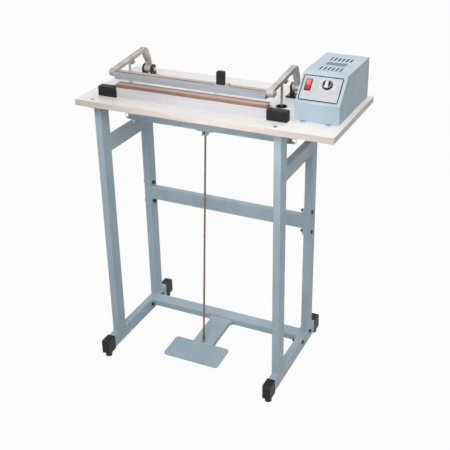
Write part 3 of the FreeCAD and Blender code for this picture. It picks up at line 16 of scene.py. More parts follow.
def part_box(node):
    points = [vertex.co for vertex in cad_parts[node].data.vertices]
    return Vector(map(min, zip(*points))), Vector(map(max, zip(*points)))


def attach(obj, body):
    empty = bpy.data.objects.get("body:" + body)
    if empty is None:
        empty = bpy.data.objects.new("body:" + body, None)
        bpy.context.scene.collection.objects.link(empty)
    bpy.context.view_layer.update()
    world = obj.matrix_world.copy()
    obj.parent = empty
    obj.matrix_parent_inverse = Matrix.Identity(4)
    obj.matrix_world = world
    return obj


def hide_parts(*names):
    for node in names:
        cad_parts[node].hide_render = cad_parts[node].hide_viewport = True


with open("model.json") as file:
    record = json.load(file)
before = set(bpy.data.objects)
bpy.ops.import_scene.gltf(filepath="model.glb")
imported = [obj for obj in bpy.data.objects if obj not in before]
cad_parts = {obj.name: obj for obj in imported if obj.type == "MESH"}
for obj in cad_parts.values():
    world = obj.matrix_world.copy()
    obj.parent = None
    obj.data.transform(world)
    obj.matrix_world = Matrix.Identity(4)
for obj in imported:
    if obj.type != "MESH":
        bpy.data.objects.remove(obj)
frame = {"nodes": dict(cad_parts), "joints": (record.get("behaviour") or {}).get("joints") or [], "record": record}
scene = bpy.context.scene
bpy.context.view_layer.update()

# %% [markdown]
# ## The camera
# A product photograph is taken from a little above the table with a long lens, so the legs hardly
# converge. A camera could be placed by eye; here its angles and distance were solved from the
# straight edges of the table and the legs. The lens shift stands for the crop: the picture's
# middle is below the optical axis.

# %% Camera
CAMERA_PLACE = (1.13125, -2.36208, 1.88553)
CAMERA_TURN = (64.0175, 0.943, 25.2354)
lens = bpy.data.cameras.new("photo_camera")
lens.sensor_width = 36.0
lens.lens = 68.08
lens.shift_y = -0.0556
lens.clip_end = 50.0
camera = bpy.data.objects.new("photo_camera", lens)
camera.location = CAMERA_PLACE
camera.rotation_euler = Euler([math.radians(turn) for turn in CAMERA_TURN])
scene.collection.objects.link(camera)
scene.camera = camera
scene.view_settings.view_transform = "Standard"
print("camera at", CAMERA_PLACE)

# %% [markdown]
# ## Finishes: the shared tools
# A finish is a small graph: coordinates go through a pattern, and the pattern drives colour,
# roughness and bump. Image textures would need an unwrapped mesh; patterns on object coordinates
# do not, and they run on from one solid to the next at their real scale. First come the helpers
# that start a finish.

# %% Start a finish
def rgb(red, green, blue):
    """A colour read off a screen, as the linear numbers that a shader wants."""
    linear = []
    for share in (red / 255, green / 255, blue / 255):
        bright = ((share + 0.055) / 1.055) ** 2.4
        linear.append(share / 12.92 if share <= 0.04045 else bright)
    return (*linear, 1.0)


def new_finish(name, constants):
    """A material with its tree and shader; constants are the numbers that hold all over it."""
    finish = bpy.data.materials.new(name)
    finish.use_nodes = True
    shader = finish.node_tree.nodes["Principled BSDF"]
    for socket, value in constants.items():
        shader.inputs[socket].default_value = value
    return finish, finish.node_tree, shader


def coat(tree, shader, colour, roughness):
    tree.links.new(colour, shader.inputs["Base Color"])
    tree.links.new(roughness, shader.inputs["Roughness"])


WHITE = rgb(255, 255, 255)
FINISH = {}
print("white is", WHITE)

# %% [markdown]
# ## Finishes: patterns
# A pattern is a number for every spot on the machine: noise, the spot's own place, or the way the
# surface looks there. Short helpers each add one node or two and return the output that carries
# the number, so a finish further down reads like a recipe and not like wiring.

# %% Patterns
def grain(tree, scale, detail=3.0, stretch=(1.0, 1.0, 1.0)):
    """Noise on object coordinates; scale counts features per metre, stretch draws them out."""
    coords = tree.nodes.new("ShaderNodeTexCoord")
    mapping = tree.nodes.new("ShaderNodeMapping")
    mapping.inputs["Scale"].default_value = stretch
    noise = tree.nodes.new("ShaderNodeTexNoise")
    noise.inputs["Scale"].default_value = scale
    noise.inputs["Detail"].default_value = detail
    tree.links.new(coords.outputs["Object"], mapping.inputs["Vector"])
    tree.links.new(mapping.outputs["Vector"], noise.inputs["Vector"])
    return noise.outputs["Fac"]


def along(tree, source, axis):
    """One axis of the place on the machine (Object) or of the way a surface looks (Normal)."""
    coords = tree.nodes.new("ShaderNodeTexCoord")
    split = tree.nodes.new("ShaderNodeSeparateXYZ")
    tree.links.new(coords.outputs[source], split.inputs["Vector"])
    return split.outputs[axis]


def maths(tree, operation, *values):
    """One step of arithmetic on the outputs of other nodes and on plain numbers."""
    step = tree.nodes.new("ShaderNodeMath")
    step.operation = operation
    for socket, value in zip(step.inputs, values):
        if isinstance(value, float):
            socket.default_value = value
        else:
            tree.links.new(value, socket)
    return step.outputs["Value"]


def window(tree, value, start, stop):
    """0 up to start, 1 from stop onwards, and a straight climb between them."""
    climb = tree.nodes.new("ShaderNodeMapRange")
    climb.inputs["From Min"].default_value = start
    climb.inputs["From Max"].default_value = stop
    tree.links.new(value, climb.inputs["Value"])
    return climb.outputs["Result"]


def span(tree, share, low, high):
    """Stretch a share of 0 to 1 to a range of numbers, such as roughness."""
    scale = tree.nodes.new("ShaderNodeMapRange")
    scale.inputs["To Min"].default_value = low
    scale.inputs["To Max"].default_value = high
    tree.links.new(share, scale.inputs["Value"])
    return scale.outputs["Result"]


print("patterns ready")

# %% [markdown]
# ## Finishes: colour, wear and bump
# Two colours can be blended along a pattern, or one laid over another by a share. Wear shows
# along sharp edges, where hands and tools rub. It could be painted by hand; here a rounded normal
# is set against the true one, because the two differ only near an edge.

# %% Colour, wear and bump
def ramp(tree, share, low, high, start=0.3, stop=0.7):
    """Blend two colours over the part of a pattern between start and stop."""
    blend = tree.nodes.new("ShaderNodeValToRGB")
    for mark, place, colour in zip(blend.color_ramp.elements, (start, stop), (low, high)):
        mark.position = place
        mark.color = colour
    tree.links.new(share, blend.inputs["Fac"])
    return blend.outputs["Color"]


def over(tree, share, below, above, blend="MIX"):
    """Lay one colour over another by a share; with MULTIPLY the upper one only darkens."""
    mix = tree.nodes.new("ShaderNodeMix")
    mix.data_type = "RGBA"
    mix.blend_type = blend
    for name, value in (("Factor", share), ("A", below), ("B", above)):
        if isinstance(value, (float, tuple)):
            mix.inputs[name].default_value = value
        else:
            tree.links.new(value, mix.inputs[name])
    return mix.outputs["Result"]


def edge_share(tree, reach):
    """Near 1 along sharp edges, where handling rubs a finish, and 0 on flats."""
    rounded = tree.nodes.new("ShaderNodeBevel")
    rounded.samples = 4
    rounded.inputs["Radius"].default_value = reach
    plain = tree.nodes.new("ShaderNodeNewGeometry")
    match = tree.nodes.new("ShaderNodeVectorMath")
    match.operation = "DOT_PRODUCT"
    tree.links.new(rounded.outputs["Normal"], match.inputs[0])
    tree.links.new(plain.outputs["Normal"], match.inputs[1])
    return window(tree, match.outputs["Value"], 0.995, 0.9)


def relief(tree, shader, height, depth, strength):
    bump = tree.nodes.new("ShaderNodeBump")
    bump.inputs["Strength"].default_value = strength
    bump.inputs["Distance"].default_value = depth
    tree.links.new(height, bump.inputs["Height"])
    tree.links.new(bump.outputs["Normal"], shader.inputs["Normal"])


print("finish tools ready")

# %% [markdown]
# ## Enamel on the stand and the box
# Sprayed enamel is never quite flat: it has an orange-peel ripple about a millimetre across, slow
# clouds of shade, a few specks, and thin bright edges where it has been knocked. One plain colour
# would look like paper. The ripple is fine noise in the bump, and the edge share picks out the
# corners. The same finish goes on tubes, pedal, beam and box.

# %% Stand enamel
finish, tree, shader = new_finish("stand_enamel", {"Specular IOR Level": 0.25})
clouds = ramp(tree, grain(tree, 9.0), rgb(161, 179, 189), rgb(173, 190, 199))
specks = ramp(tree, grain(tree, 260.0, 2.0), rgb(120, 134, 143), WHITE, 0.24, 0.3)
flecked = over(tree, 0.12, clouds, specks, "MULTIPLY")
worn = over(tree, edge_share(tree, 0.0012), flecked, rgb(188, 201, 208))
coat(tree, shader, worn, span(tree, grain(tree, 40.0), 0.3, 0.48))
relief(tree, shader, grain(tree, 700.0, 1.0), 0.0003, 0.12)
FINISH["stand_paint"] = finish
print("enamel:", len(tree.nodes), "nodes")

# %% [markdown]
# ## Laminate board
# The table is chipboard with a hard off-white laminate on its faces and a beige strip glued round
# its edge. Two materials on two sets of faces would do it; one finish can also tell them apart by
# the direction of the surface, and then the solid needs no edit: a face looks up or down, an edge
# looks sideways. The laminate has a faint fine mottle, the strip a streak along its length.

# %% Table laminate
finish, tree, shader = new_finish("table_laminate", {})
mottle = ramp(tree, grain(tree, 420.0, 4.0), rgb(214, 211, 209), rgb(226, 223, 221))
drawn_out = grain(tree, 60.0, 4.0, (0.2, 0.2, 9.0))
streaks = ramp(tree, drawn_out, rgb(198, 188, 182), rgb(212, 203, 198))
level = maths(tree, "ABSOLUTE", along(tree, "Normal", "Z"))
board = over(tree, level, streaks, mottle)
coat(tree, shader, board, span(tree, grain(tree, 90.0), 0.34, 0.5))
relief(tree, shader, grain(tree, 1500.0, 1.0), 0.0001, 0.1)
FINISH["laminate"] = finish
print("laminate:", len(tree.nodes), "nodes")

# %% [markdown]
# ## Castings and brushed metal
# Bare metals differ by how they were worked. The arms are castings that were tumbled, so they are
# dull and slightly grainy all over. The jaw bars were extruded and brushed along their length, so
# their grain is noise drawn out along X. An anisotropic shader could give the same streaks. The
# panel of the control box has the same grain, so one function makes all the brushed finishes.

# %% Castings and brushed metal
finish, tree, shader = new_finish("cast_alloy", {"Metallic": 0.75})
skin = ramp(tree, grain(tree, 30.0, 5.0), rgb(158, 151, 147), rgb(188, 182, 177))
worn = over(tree, edge_share(tree, 0.002), skin, rgb(214, 209, 204))
coat(tree, shader, worn, span(tree, grain(tree, 180.0), 0.38, 0.62))
relief(tree, shader, grain(tree, 900.0, 2.0), 0.0004, 0.2)
FINISH["cast_alloy"] = finish


def brush_marks(tree):
    return grain(tree, 60.0, 6.0, (0.06, 14.0, 14.0))


def brushed(name, dark, light, metallic):
    finish, tree, shader = new_finish(name, {"Metallic": metallic})
    marks = brush_marks(tree)
    colour = ramp(tree, marks, dark, light)
    coat(tree, shader, colour, span(tree, marks, 0.28, 0.52))
    relief(tree, shader, marks, 0.0002, 0.15)
    return finish, tree, shader, colour


bed_alloy = brushed("brushed_alloy", rgb(184, 184, 188), rgb(206, 206, 209), 0.35)
FINISH["extruded_alloy"] = bed_alloy[0]
FINISH["panel_label"] = brushed("panel_face", rgb(168, 170, 175), rgb(184, 186, 190), 0.2)[0]
print("castings and brushed metal done")

# %% [markdown]
# ## Plated and bare steel
# Screws and rods are zinc-plated, some bright, the pedal's rod yellow, the crossbars' bolts dark.
# Plating shines, with small cloudy patches and roughness that changes every few millimetres. A
# mirror-smooth metal would look like glass here, because it shows nothing but the white room.
# Brass, the ribbon's alloy and the transformer's iron are the same graph in other colours.

# %% Plated steel
def plated(name, dark, light):
    finish, tree, shader = new_finish(name, {"Metallic": 1.0})
    colour = ramp(tree, grain(tree, 120.0, 4.0), dark, light)
    coat(tree, shader, colour, span(tree, grain(tree, 400.0, 2.0), 0.22, 0.42))
    relief(tree, shader, grain(tree, 1400.0, 1.0), 0.0001, 0.1)
    return finish


FINISH["zinc_steel"] = plated("bright_zinc", rgb(168, 168, 170), rgb(208, 208, 208))
FINISH["yellow_zinc"] = plated("yellow_zinc", rgb(114, 100, 86), rgb(148, 133, 117))
FINISH["terminal_brass"] = plated("terminal_brass", rgb(178, 150, 84), rgb(214, 188, 122))
FINISH["ribbon_alloy"] = plated("ribbon_alloy", rgb(140, 136, 130), rgb(182, 178, 172))
FINISH["core_iron"] = plated("core_iron", rgb(70, 70, 74), rgb(104, 104, 108))
DARK_ZINC = plated("dark_zinc", rgb(62, 62, 64), rgb(92, 92, 95))
print("plated metals done")

# %% [markdown]
# ## Black mouldings, silicone and the small plastics
# Moulded plastic carries a fine spark-eroded grain, which is why its highlights are soft. A noise
# of about half a millimetre in the bump and a little in the roughness gives that, where a plain
# black would show hard reflections. Edges are left slightly paler, as polished by hands. Silicone
# is the same idea, pale and duller.

# %% Mouldings
def moulded(name, dark, light, smooth, rough, worn_edge=None):
    finish, tree, shader = new_finish(name, {"Specular IOR Level": 0.3})
    colour = ramp(tree, grain(tree, 150.0), dark, light)
    if worn_edge:
        colour = over(tree, edge_share(tree, 0.001), colour, worn_edge)
    coat(tree, shader, colour, span(tree, grain(tree, 300.0), smooth, rough))
    relief(tree, shader, grain(tree, 1800.0, 1.0), 0.0002, 0.25)
    return finish


FINISH["black_plastic"] = moulded(
    "black_moulding", rgb(13, 13, 14), rgb(22, 22, 24), 0.42, 0.6, rgb(44, 44, 47)
)
FINISH["black_paint"] = moulded(
    "black_enamel", rgb(12, 12, 13), rgb(20, 20, 22), 0.25, 0.4, rgb(46, 46, 50)
)
FINISH["silicone"] = moulded("pale_silicone", rgb(200, 194, 186), rgb(214, 209, 202), 0.55, 0.7)
FINISH["board_green"] = moulded("solder_mask", rgb(26, 84, 50), rgb(40, 104, 66), 0.3, 0.45)
print("mouldings done")

# %% [markdown]
# ## The rocker's painted highlight
# The power switch is red plastic. Its upper half gets a painted highlight: emission that follows
# the height on the switch makes the top glow pale while the lower half stays deep red, and it
# lights nothing else in the room.

# %% Rocker red
finish, tree, shader = new_finish(
    "red_with_painted_highlight", {"Roughness": 0.22, "Coat Weight": 0.5, "Emission Strength": 0.6}
)
red = ramp(tree, grain(tree, 60.0), rgb(150, 10, 24), rgb(182, 20, 34))
tree.links.new(red, shader.inputs["Base Color"])
low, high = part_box("power_rocker")
climb = window(tree, along(tree, "Object", "Z"), low.z, high.z)
# painted highlight: emission rising from deep red to pale pink towards the top of the switch
glow = ramp(tree, climb, rgb(70, 0, 6), rgb(255, 150, 146), 0.46, 0.66)
tree.links.new(glow, shader.inputs["Emission Color"])
FINISH["rocker_red"] = finish
print("rocker glows from", round(low.z, 3), "to", round(high.z, 3))

# %% [markdown]
# ## Coated glass cloth
# The strip over the heating ribbon is glass cloth soaked in a slippery brown resin. Seen close,
# the weave shows as a grid of tiny squares about a millimetre apart. Modelling the threads would
# take millions of faces, so two sets of waves at right angles make the grid; their product drives
# both the bump and a slight change of brown. The top of the strip is paler in front, and its folds
# and the strip behind the bar are darker brown.

# %% Cloth finish
WEAVE_SCALE, WEAVE_WOBBLE = 320.0, 0.6
PALE_TOP_BELOW, PALE_TOP_ABOVE = 0.0008, 0.0002
BACK_STRIP, BACK_FADE = 0.0075, 0.0105
finish, tree, shader = new_finish("coated_cloth", {"Roughness": 0.4})
coords = tree.nodes.new("ShaderNodeTexCoord")
waves = []
for direction in ("X", "Y"):
    wave = tree.nodes.new("ShaderNodeTexWave")
    wave.bands_direction = direction
    wave.inputs["Scale"].default_value = WEAVE_SCALE
    wave.inputs["Distortion"].default_value = WEAVE_WOBBLE
    tree.links.new(coords.outputs["Object"], wave.inputs["Vector"])
    waves.append(wave.outputs["Fac"])
weave = maths(tree, "MULTIPLY", *waves)
brown = ramp(tree, weave, rgb(122, 90, 76), rgb(150, 116, 101), 0.0, 0.8)
pale = ramp(tree, weave, rgb(192, 160, 146), rgb(222, 194, 180), 0.0, 0.8)
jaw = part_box("seal_bed")[1]
on_top = window(tree, along(tree, "Object", "Z"), jaw.z - PALE_TOP_BELOW, jaw.z + PALE_TOP_ABOVE)
in_front = window(tree, along(tree, "Object", "Y"), jaw.y - BACK_STRIP, jaw.y - BACK_FADE)
# paler on the top in front, darker brown on the folds and on the strip behind the bar
pale_top_in_front = over(tree, maths(tree, "MULTIPLY", on_top, in_front), brown, pale)
patches = grain(tree, 14.0, 4.0, (0.3, 1.0, 1.0))
scorch = ramp(tree, patches, rgb(190, 160, 146), WHITE, 0.35, 0.6)
scorched = over(tree, 0.3, pale_top_in_front, scorch, "MULTIPLY")
tree.links.new(scorched, shader.inputs["Base Color"])
relief(tree, shader, weave, 0.0002, 0.4)
FINISH["ptfe_cloth"] = finish
print("cloth:", len(tree.nodes), "nodes")

# %% [markdown]
# ## Put the finishes on the solids
# Each solid is one material on the real machine, apart from its wear. They could be dressed by
# hand, one by one; the record names a material slot for every solid, so one loop dresses them
# all. The meshes are not touched: only the material in each slot is swapped.

# %% Dress the solids
slots = {row["node"]: row["material_slot"] for row in frame["record"]["subparts"]}
for name, solid in frame["nodes"].items():
    solid.data.materials.clear()
    solid.data.materials.append(FINISH[slots[name]])
frame["nodes"]["crossbar_bolts"].data.materials[0] = DARK_ZINC
print("dressed", len(slots), "solids with", len(set(slots.values())), "finishes")

# %% [markdown]
# ## The slot in the upper bar
# The cutter's slot reads as a dark line along the bar, because shade falls into it, so its walls
# get a painted shade. They are part of the bar's solid, so a second material would mean picking
# faces. The walls lie in a narrow band of Y, so a dark colour is laid over the brushed one within
# that band. The bar's top is warmer in colour than its face, and the direction of the surface
# picks the colour there.

# %% Upper bar
SLOT_FROM_FACE = 0.0066
SLOT_HALF, SLOT_FADE = 0.0034, 0.0046
finish, tree, shader, colour = brushed(
    "brushed_bar", rgb(138, 142, 150), rgb(172, 175, 181), 0.5
)
slot_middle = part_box("upper_bar")[0].y + SLOT_FROM_FACE
from_slot = maths(tree, "SUBTRACT", along(tree, "Object", "Y"), slot_middle)
slot_shade_band = window(tree, maths(tree, "ABSOLUTE", from_slot), SLOT_FADE, SLOT_HALF)
upward = window(tree, along(tree, "Normal", "Z"), 0.6, 0.9)
# a warmer colour on the faces that look up
warm_top_colour = ramp(tree, brush_marks(tree), rgb(160, 146, 134), rgb(184, 171, 160))
topped = over(tree, upward, colour, warm_top_colour)
# painted shade: the slot's walls darkened where shade falls into the slot
slot_painted_shade = over(tree, slot_shade_band, topped, rgb(92, 72, 54))
tree.links.new(slot_painted_shade, shader.inputs["Base Color"])
frame["nodes"]["upper_bar"].data.materials[0] = finish
print("bar slot band at", round(slot_middle, 4))

# %% [markdown]
# ## Making a piece
# New pieces are built in a bmesh, moved to their place while still loose, and then given to an
# object that stays at the origin. Moving the object instead would make its pattern slide. Each
# piece rides on a body of the machine, so that it moves when that body moves.

# %% Helpers for pieces
SIDES = ("left", "right")
JOINTS = {joint["name"]: joint for joint in frame["joints"]}


def piece(name, bm, finish, body, place=None, crease=35.0):
    if place is not None:
        bmesh.ops.transform(bm, matrix=place, verts=bm.verts)
    bmesh.ops.recalc_face_normals(bm, faces=bm.faces)
    mesh = bpy.data.meshes.new(name)
    bm.to_mesh(mesh)
    bm.free()
    mesh.shade_smooth()
    mesh.set_sharp_from_angle(angle=math.radians(crease))
    mesh.materials.append(finish)
    made = bpy.data.objects.new(name, mesh)
    scene.collection.objects.link(made)
    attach(made, body)
    return made


def middle(node):
    low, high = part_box(node)
    return (low + high) / 2


print("joints:", ", ".join(JOINTS))

# %% [markdown]
# Most small parts are either blocks or turned shapes. A block is a cube that is scaled, turned
# and moved. A turned shape is an outline, a row of vertices joined by edges, that is spun once
# round an axis; the vertices that lie on the axis fall together there, so they are merged.

# %% Blocks and turned shapes
MERGE_REACH = 0.00001


def block(bm, size, at, turn=None):
    """A box of a given size added to a bmesh; returns its vertices."""
    verts = bmesh.ops.create_cube(bm, size=1.0)["verts"]
    bmesh.ops.scale(bm, vec=size, verts=verts)
    if turn is not None:
        bmesh.ops.rotate(bm, matrix=turn, verts=verts, cent=(0, 0, 0))
    bmesh.ops.translate(bm, vec=at, verts=verts)
    return verts


def outline(bm, points, closed=False):
    """Vertices at the points, joined in a row by edges."""
    verts = [bm.verts.new(point) for point in points]
    ends = verts[1:] + verts[:1] if closed else verts[1:]
    return verts + [bm.edges.new(pair) for pair in zip(verts, ends)]


def spin_round(bm, geom, steps, axis=(0, 0, 1), cent=(0, 0, 0)):
    """Spin an outline once round an axis and close what it makes."""
    bmesh.ops.spin(
        bm, geom=geom, cent=cent, axis=axis, angle=math.tau, steps=steps, use_merge=True
    )
    bmesh.ops.remove_doubles(bm, verts=bm.verts, dist=MERGE_REACH)


print("piece tools ready")

# %% [markdown]
# ## The cloth strip
# The CAD strip is a stiff channel. Real cloth lies tight on top, turns softly over the edges of
# the jaw and hangs slightly uneven at its hems. It is stuck down, so a simulation has nothing to
# find. A grid is folded over the jaw by moving its outer rows down, its hems get a small wave,
# and Solidify gives it the thickness of cloth.

# %% Cloth strip
CLOTH_THICK = 0.0004
HEM_WAVE = 0.02
LONG_WAVE, SHORT_WAVE = 11.0, 37.0
low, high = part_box("ptfe_cover")
crown_width = high.y - low.y - 2 * CLOTH_THICK
fold = high.z - low.z - CLOTH_THICK
flat_size = (high.x - low.x, crown_width + 2 * fold)
bm = bmesh.new()
bmesh.ops.create_grid(bm, x_segments=120, y_segments=24, size=0.5)
for vert in bm.verts:
    x = low.x + (vert.co.x + 0.5) * flat_size[0]
    across = vert.co.y * flat_size[1]
    hang = max(0.0, abs(across) - crown_width / 2)
    lift = HEM_WAVE * hang * (1 + math.sin(SHORT_WAVE * x) * math.cos(LONG_WAVE * x))
    y = math.copysign(min(abs(across), crown_width / 2), across) + (low.y + high.y) / 2
    vert.co = (x, y, high.z - CLOTH_THICK / 2 - hang + lift)
cloth = piece("cloth_strip", bm, FINISH["ptfe_cloth"], "stand", crease=80.0)
wall = cloth.modifiers.new("thickness", "SOLIDIFY")
wall.thickness = CLOTH_THICK
wall.offset = 0.0
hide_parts("ptfe_cover")
print("cloth:", round(flat_size[1] * 1000, 1), "mm wide")

# %% [markdown]
# ## The timer's knob
# A turning knob is grippy because its side is fluted. It could be a cylinder with a bumpy finish,
# but the flutes show against the panel, so they are cut: the body is an outline spun about the
# axis, and every other side face is pushed in. It is built standing up and tilted onto the
# sloping panel by the joint's own axis.

# %% Timer knob
KNOB_OUTLINE = (
    (0.0, 0.0), (0.0163, 0.0), (0.0163, 0.0020), (0.0146, 0.0030),
    (0.0140, 0.0076), (0.0130, 0.0086), (0.0, 0.0086),
)
KNOB_STEPS = 48
GRIP_LOW, GRIP_HIGH = 0.004, 0.007
FLUTE_RIM, FLUTE_DEPTH = 0.0002, 0.0009
dial = JOINTS["timer_turn"]
panel_right = Vector((1.0, 0.0, 0.0))
panel_out = Vector(dial["axis"]).normalized()
on_panel = Matrix((panel_right, panel_out.cross(panel_right), panel_out)).transposed().to_4x4()
on_panel.translation = Vector(dial["pos_m"])


def bearing(face):
    """The angle of a face round the knob's axis."""
    spot = face.calc_center_median()
    return math.atan2(spot.y, spot.x)


bm = bmesh.new()
turned = outline(bm, [(radius, 0.0, height) for radius, height in KNOB_OUTLINE])
spin_round(bm, turned, KNOB_STEPS)
bm.normal_update()
steep = [face for face in bm.faces if abs(face.normal.z) < 0.4]
grip = [face for face in steep if GRIP_LOW < face.calc_center_median().z < GRIP_HIGH]
grip.sort(key=bearing)
bmesh.ops.inset_individual(bm, faces=grip[::2], thickness=FLUTE_RIM, depth=-FLUTE_DEPTH)
knob = piece("timer_dial", bm, FINISH["black_plastic"], "timer", on_panel)
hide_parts("timer_knob")
print("flutes:", len(grip[::2]))

# %% [markdown]
# A bright bar crosses the top of the knob for the fingers and points at the scale, and a bright
# ring trims its edge. Both could be faces of the knob with a second finish; as pieces of their
# own they stand a little proud and keep clean edges. The bar is a block, narrower at the pointing
# end, with bevelled edges; the ring is a small round section spun about the knob's axis.

# %% Pointer and trim ring
POINTER_SIZE, POINTER_HEIGHT, POINTER_BEVEL = (0.0116, 0.0262, 0.0040), 0.0100, 0.0009
POINTER_TAPER = (0.75, 1.0, 1.0)
TRIM_RADIUS, TRIM_HEIGHT, TRIM_SECTION = 0.0132, 0.0086, 0.0007
BRIGHT_TRIM = brushed("knob_trim", rgb(172, 173, 177), rgb(194, 195, 199), 0.5)[0]
bm = bmesh.new()
bar = block(bm, POINTER_SIZE, (0.0, 0.0, POINTER_HEIGHT))
bmesh.ops.scale(bm, vec=POINTER_TAPER, verts=[vert for vert in bar if vert.co.y > 0])
bmesh.ops.bevel(
    bm, geom=bm.edges[:], offset=POINTER_BEVEL, affect="EDGES", segments=3, profile=0.5, material=-1
)
pointer = piece("timer_pointer", bm, BRIGHT_TRIM, "timer", on_panel)
bm = bmesh.new()
section = bmesh.ops.create_circle(bm, cap_ends=False, radius=TRIM_SECTION, segments=10)["verts"]
upright = Matrix.Rotation(math.pi / 2, 3, "X")
bmesh.ops.rotate(bm, verts=section, cent=(0, 0, 0), matrix=upright)
bmesh.ops.translate(bm, verts=section, vec=(TRIM_RADIUS, 0.0, TRIM_HEIGHT))
spin_round(bm, bm.verts[:] + bm.edges[:], KNOB_STEPS)
trim = piece("timer_trim", bm, BRIGHT_TRIM, "timer", on_panel)
print("pointer faces:", len(pointer.data.polygons), "trim faces:", len(trim.data.polygons))

# %% [markdown]
# ## Print on the panel
# The panel is a thin printed plate: a dark line frames it, and a pale ring lies round the knob.
# Print could be painted in the material, but a mesh stays sharp at any distance. It has no
# thickness to speak of, yet a mesh needs some, so each mark is a sliver about a tenth of a
# millimetre high, set on the panel's face in the same tilted frame as the knob.

# %% Panel print
PRINT_SEAT, PRINT_HIGH, SLIVER_HIGH = -0.0003, 0.00008, 0.00016
PANEL_LOW, PANEL_HIGH = Vector((-0.0795, -0.0575)), Vector((0.0455, 0.0275))
FRAME_INSET, FRAME_LINE = 0.0018, 0.0033
RING_RADIUS, RING_WIDTH = 0.0262, 0.0085
INK = moulded("dark_ink", rgb(26, 29, 34), rgb(36, 39, 44), 0.4, 0.5)
PALE_INK = moulded("pale_ink", rgb(190, 190, 192), rgb(200, 200, 202), 0.4, 0.5)


def sliver(bm, size, at, turn=0.0):
    """A flat mark on the panel, given by its width, its height, its place and its turn."""
    place = (at[0], at[1], PRINT_SEAT + SLIVER_HIGH / 2)
    block(bm, (*size, SLIVER_HIGH), place, Matrix.Rotation(turn, 3, "Z"))


def thicken(bm):
    """Raise flat print off the panel by extruding its faces."""
    shell = bmesh.ops.extrude_face_region(bm, geom=bm.faces[:])["geom"]
    lifted = [item for item in shell if isinstance(item, bmesh.types.BMVert)]
    bmesh.ops.translate(bm, vec=(0, 0, PRINT_HIGH), verts=lifted)


bm = bmesh.new()
centre = (PANEL_LOW + PANEL_HIGH) / 2
reach = (PANEL_HIGH - PANEL_LOW) / 2 - Vector((FRAME_INSET, FRAME_INSET))
for sign in (-1, 1):
    sliver(bm, (2 * reach.x, FRAME_LINE), (centre.x, centre.y + sign * reach.y))
    sliver(bm, (FRAME_LINE, 2 * reach.y - FRAME_LINE), (centre.x + sign * reach.x, centre.y))
piece("panel_border", bm, INK, "stand", on_panel)
bm = bmesh.new()
bmesh.ops.create_circle(bm, cap_ends=True, radius=RING_RADIUS, segments=72)
bmesh.ops.inset_region(
    bm, faces=bm.faces[:], thickness=RING_WIDTH, use_boundary=True, use_even_offset=True
)
hub = min(bm.faces, key=lambda face: face.calc_center_median().length)
bmesh.ops.delete(bm, geom=[hub], context="FACES_ONLY")
thicken(bm)
bmesh.ops.translate(bm, vec=(0, 0, PRINT_SEAT), verts=bm.verts)
piece("dial_scale", bm, PALE_INK, "stand", on_panel)
print("print: border and ring")

# %% [markdown]
# The ring carries eleven ticks, and a plain number at every other one. A tick is a sliver turned
# towards the knob. A number could be drawn from slivers as well, but a typeface reads better, so
# it is a text curve that is made a mesh, given the thickness of print, and only then moved to its
# place.

# %% Ticks and numbers
TICK_COUNT, FIRST_TICK, TICK_STEP = 11, 225, 27
TICK_RADIUS, NUMBER_RADIUS = 0.0198, 0.0234
TICK_SIZE, NUMBER_SIZE = (0.0024, 0.0006), 0.0046


def dial_turn(step):
    return math.radians(FIRST_TICK - TICK_STEP * step)


def dial_spot(step, radius):
    return (math.cos(dial_turn(step)) * radius, math.sin(dial_turn(step)) * radius)


bm = bmesh.new()
for step in range(TICK_COUNT):
    sliver(bm, TICK_SIZE, dial_spot(step, TICK_RADIUS), dial_turn(step))
piece("dial_ticks", bm, INK, "stand", on_panel)
numbered = range(0, TICK_COUNT, 2)
for step in numbered:
    text = bpy.data.curves.new(f"dial_number_{step}", "FONT")
    text.body = str(step)
    text.size = NUMBER_SIZE
    text.align_x = "CENTER"
    text.align_y = "CENTER"
    written = bpy.data.objects.new(f"dial_number_{step}_text", text)
    bm = bmesh.new()
    bm.from_mesh(bpy.data.meshes.new_from_object(written))
    bpy.data.objects.remove(written)
    thicken(bm)
    spot = Matrix.Translation((*dial_spot(step, NUMBER_RADIUS), PRINT_SEAT + PRINT_HIGH))
    piece(f"dial_number_{step}", bm, INK, "stand", on_panel @ spot)
print("numbers:", len(numbered))

# %% [markdown]
# ## Threads
# The rods are threaded at their lower ends, where the nuts sit. A bump would leave the outline
# smooth, and these threads are seen against white. A thread is one small ridge that climbs as it
# goes round, which is what a spin with a rise does: two edges, turned many times, each step a
# little higher. The ridge stands proud of the plain rod, and hides in the nut where the two meet.

# %% Threaded ends
PITCH, STEPS_PER_TURN = 0.00125, 14
RIDGE_ROOT, RIDGE_CREST = 0.0003, 0.00045
PULL_ROD_RADIUS, PULL_ROD_THREAD, PULL_ROD_CHAMFER = 0.004, 0.0095, 0.0004
PEDAL_ROD_THREAD = 0.042


def thread(name, foot, radius, length, body, slot, lean=Matrix.Identity(4)):
    bm = bmesh.new()
    root, crest = radius - RIDGE_ROOT, radius + RIDGE_CREST
    ridge = outline(bm, [(root, 0, 0), (crest, 0, PITCH * 0.35), (root, 0, PITCH * 0.7)])
    turns = length / PITCH
    steps = int(turns * STEPS_PER_TURN)
    bmesh.ops.spin(
        bm, geom=ridge, cent=(0, 0, 0), axis=(0, 0, 1), angle=math.tau * turns, steps=steps,
        dvec=(0, 0, length / steps),
    )
    place = Matrix.Translation(foot) @ lean
    piece(name, bm, FINISH[slot], body, place, crease=60.0)


def rod_foot(side):
    """The middle of a pull rod's lower end; only its upper end is bent."""
    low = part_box(f"{side}_pull_rod")[0]
    return Vector((low.x + PULL_ROD_RADIUS, middle(f"{side}_pull_rod").y, low.z))


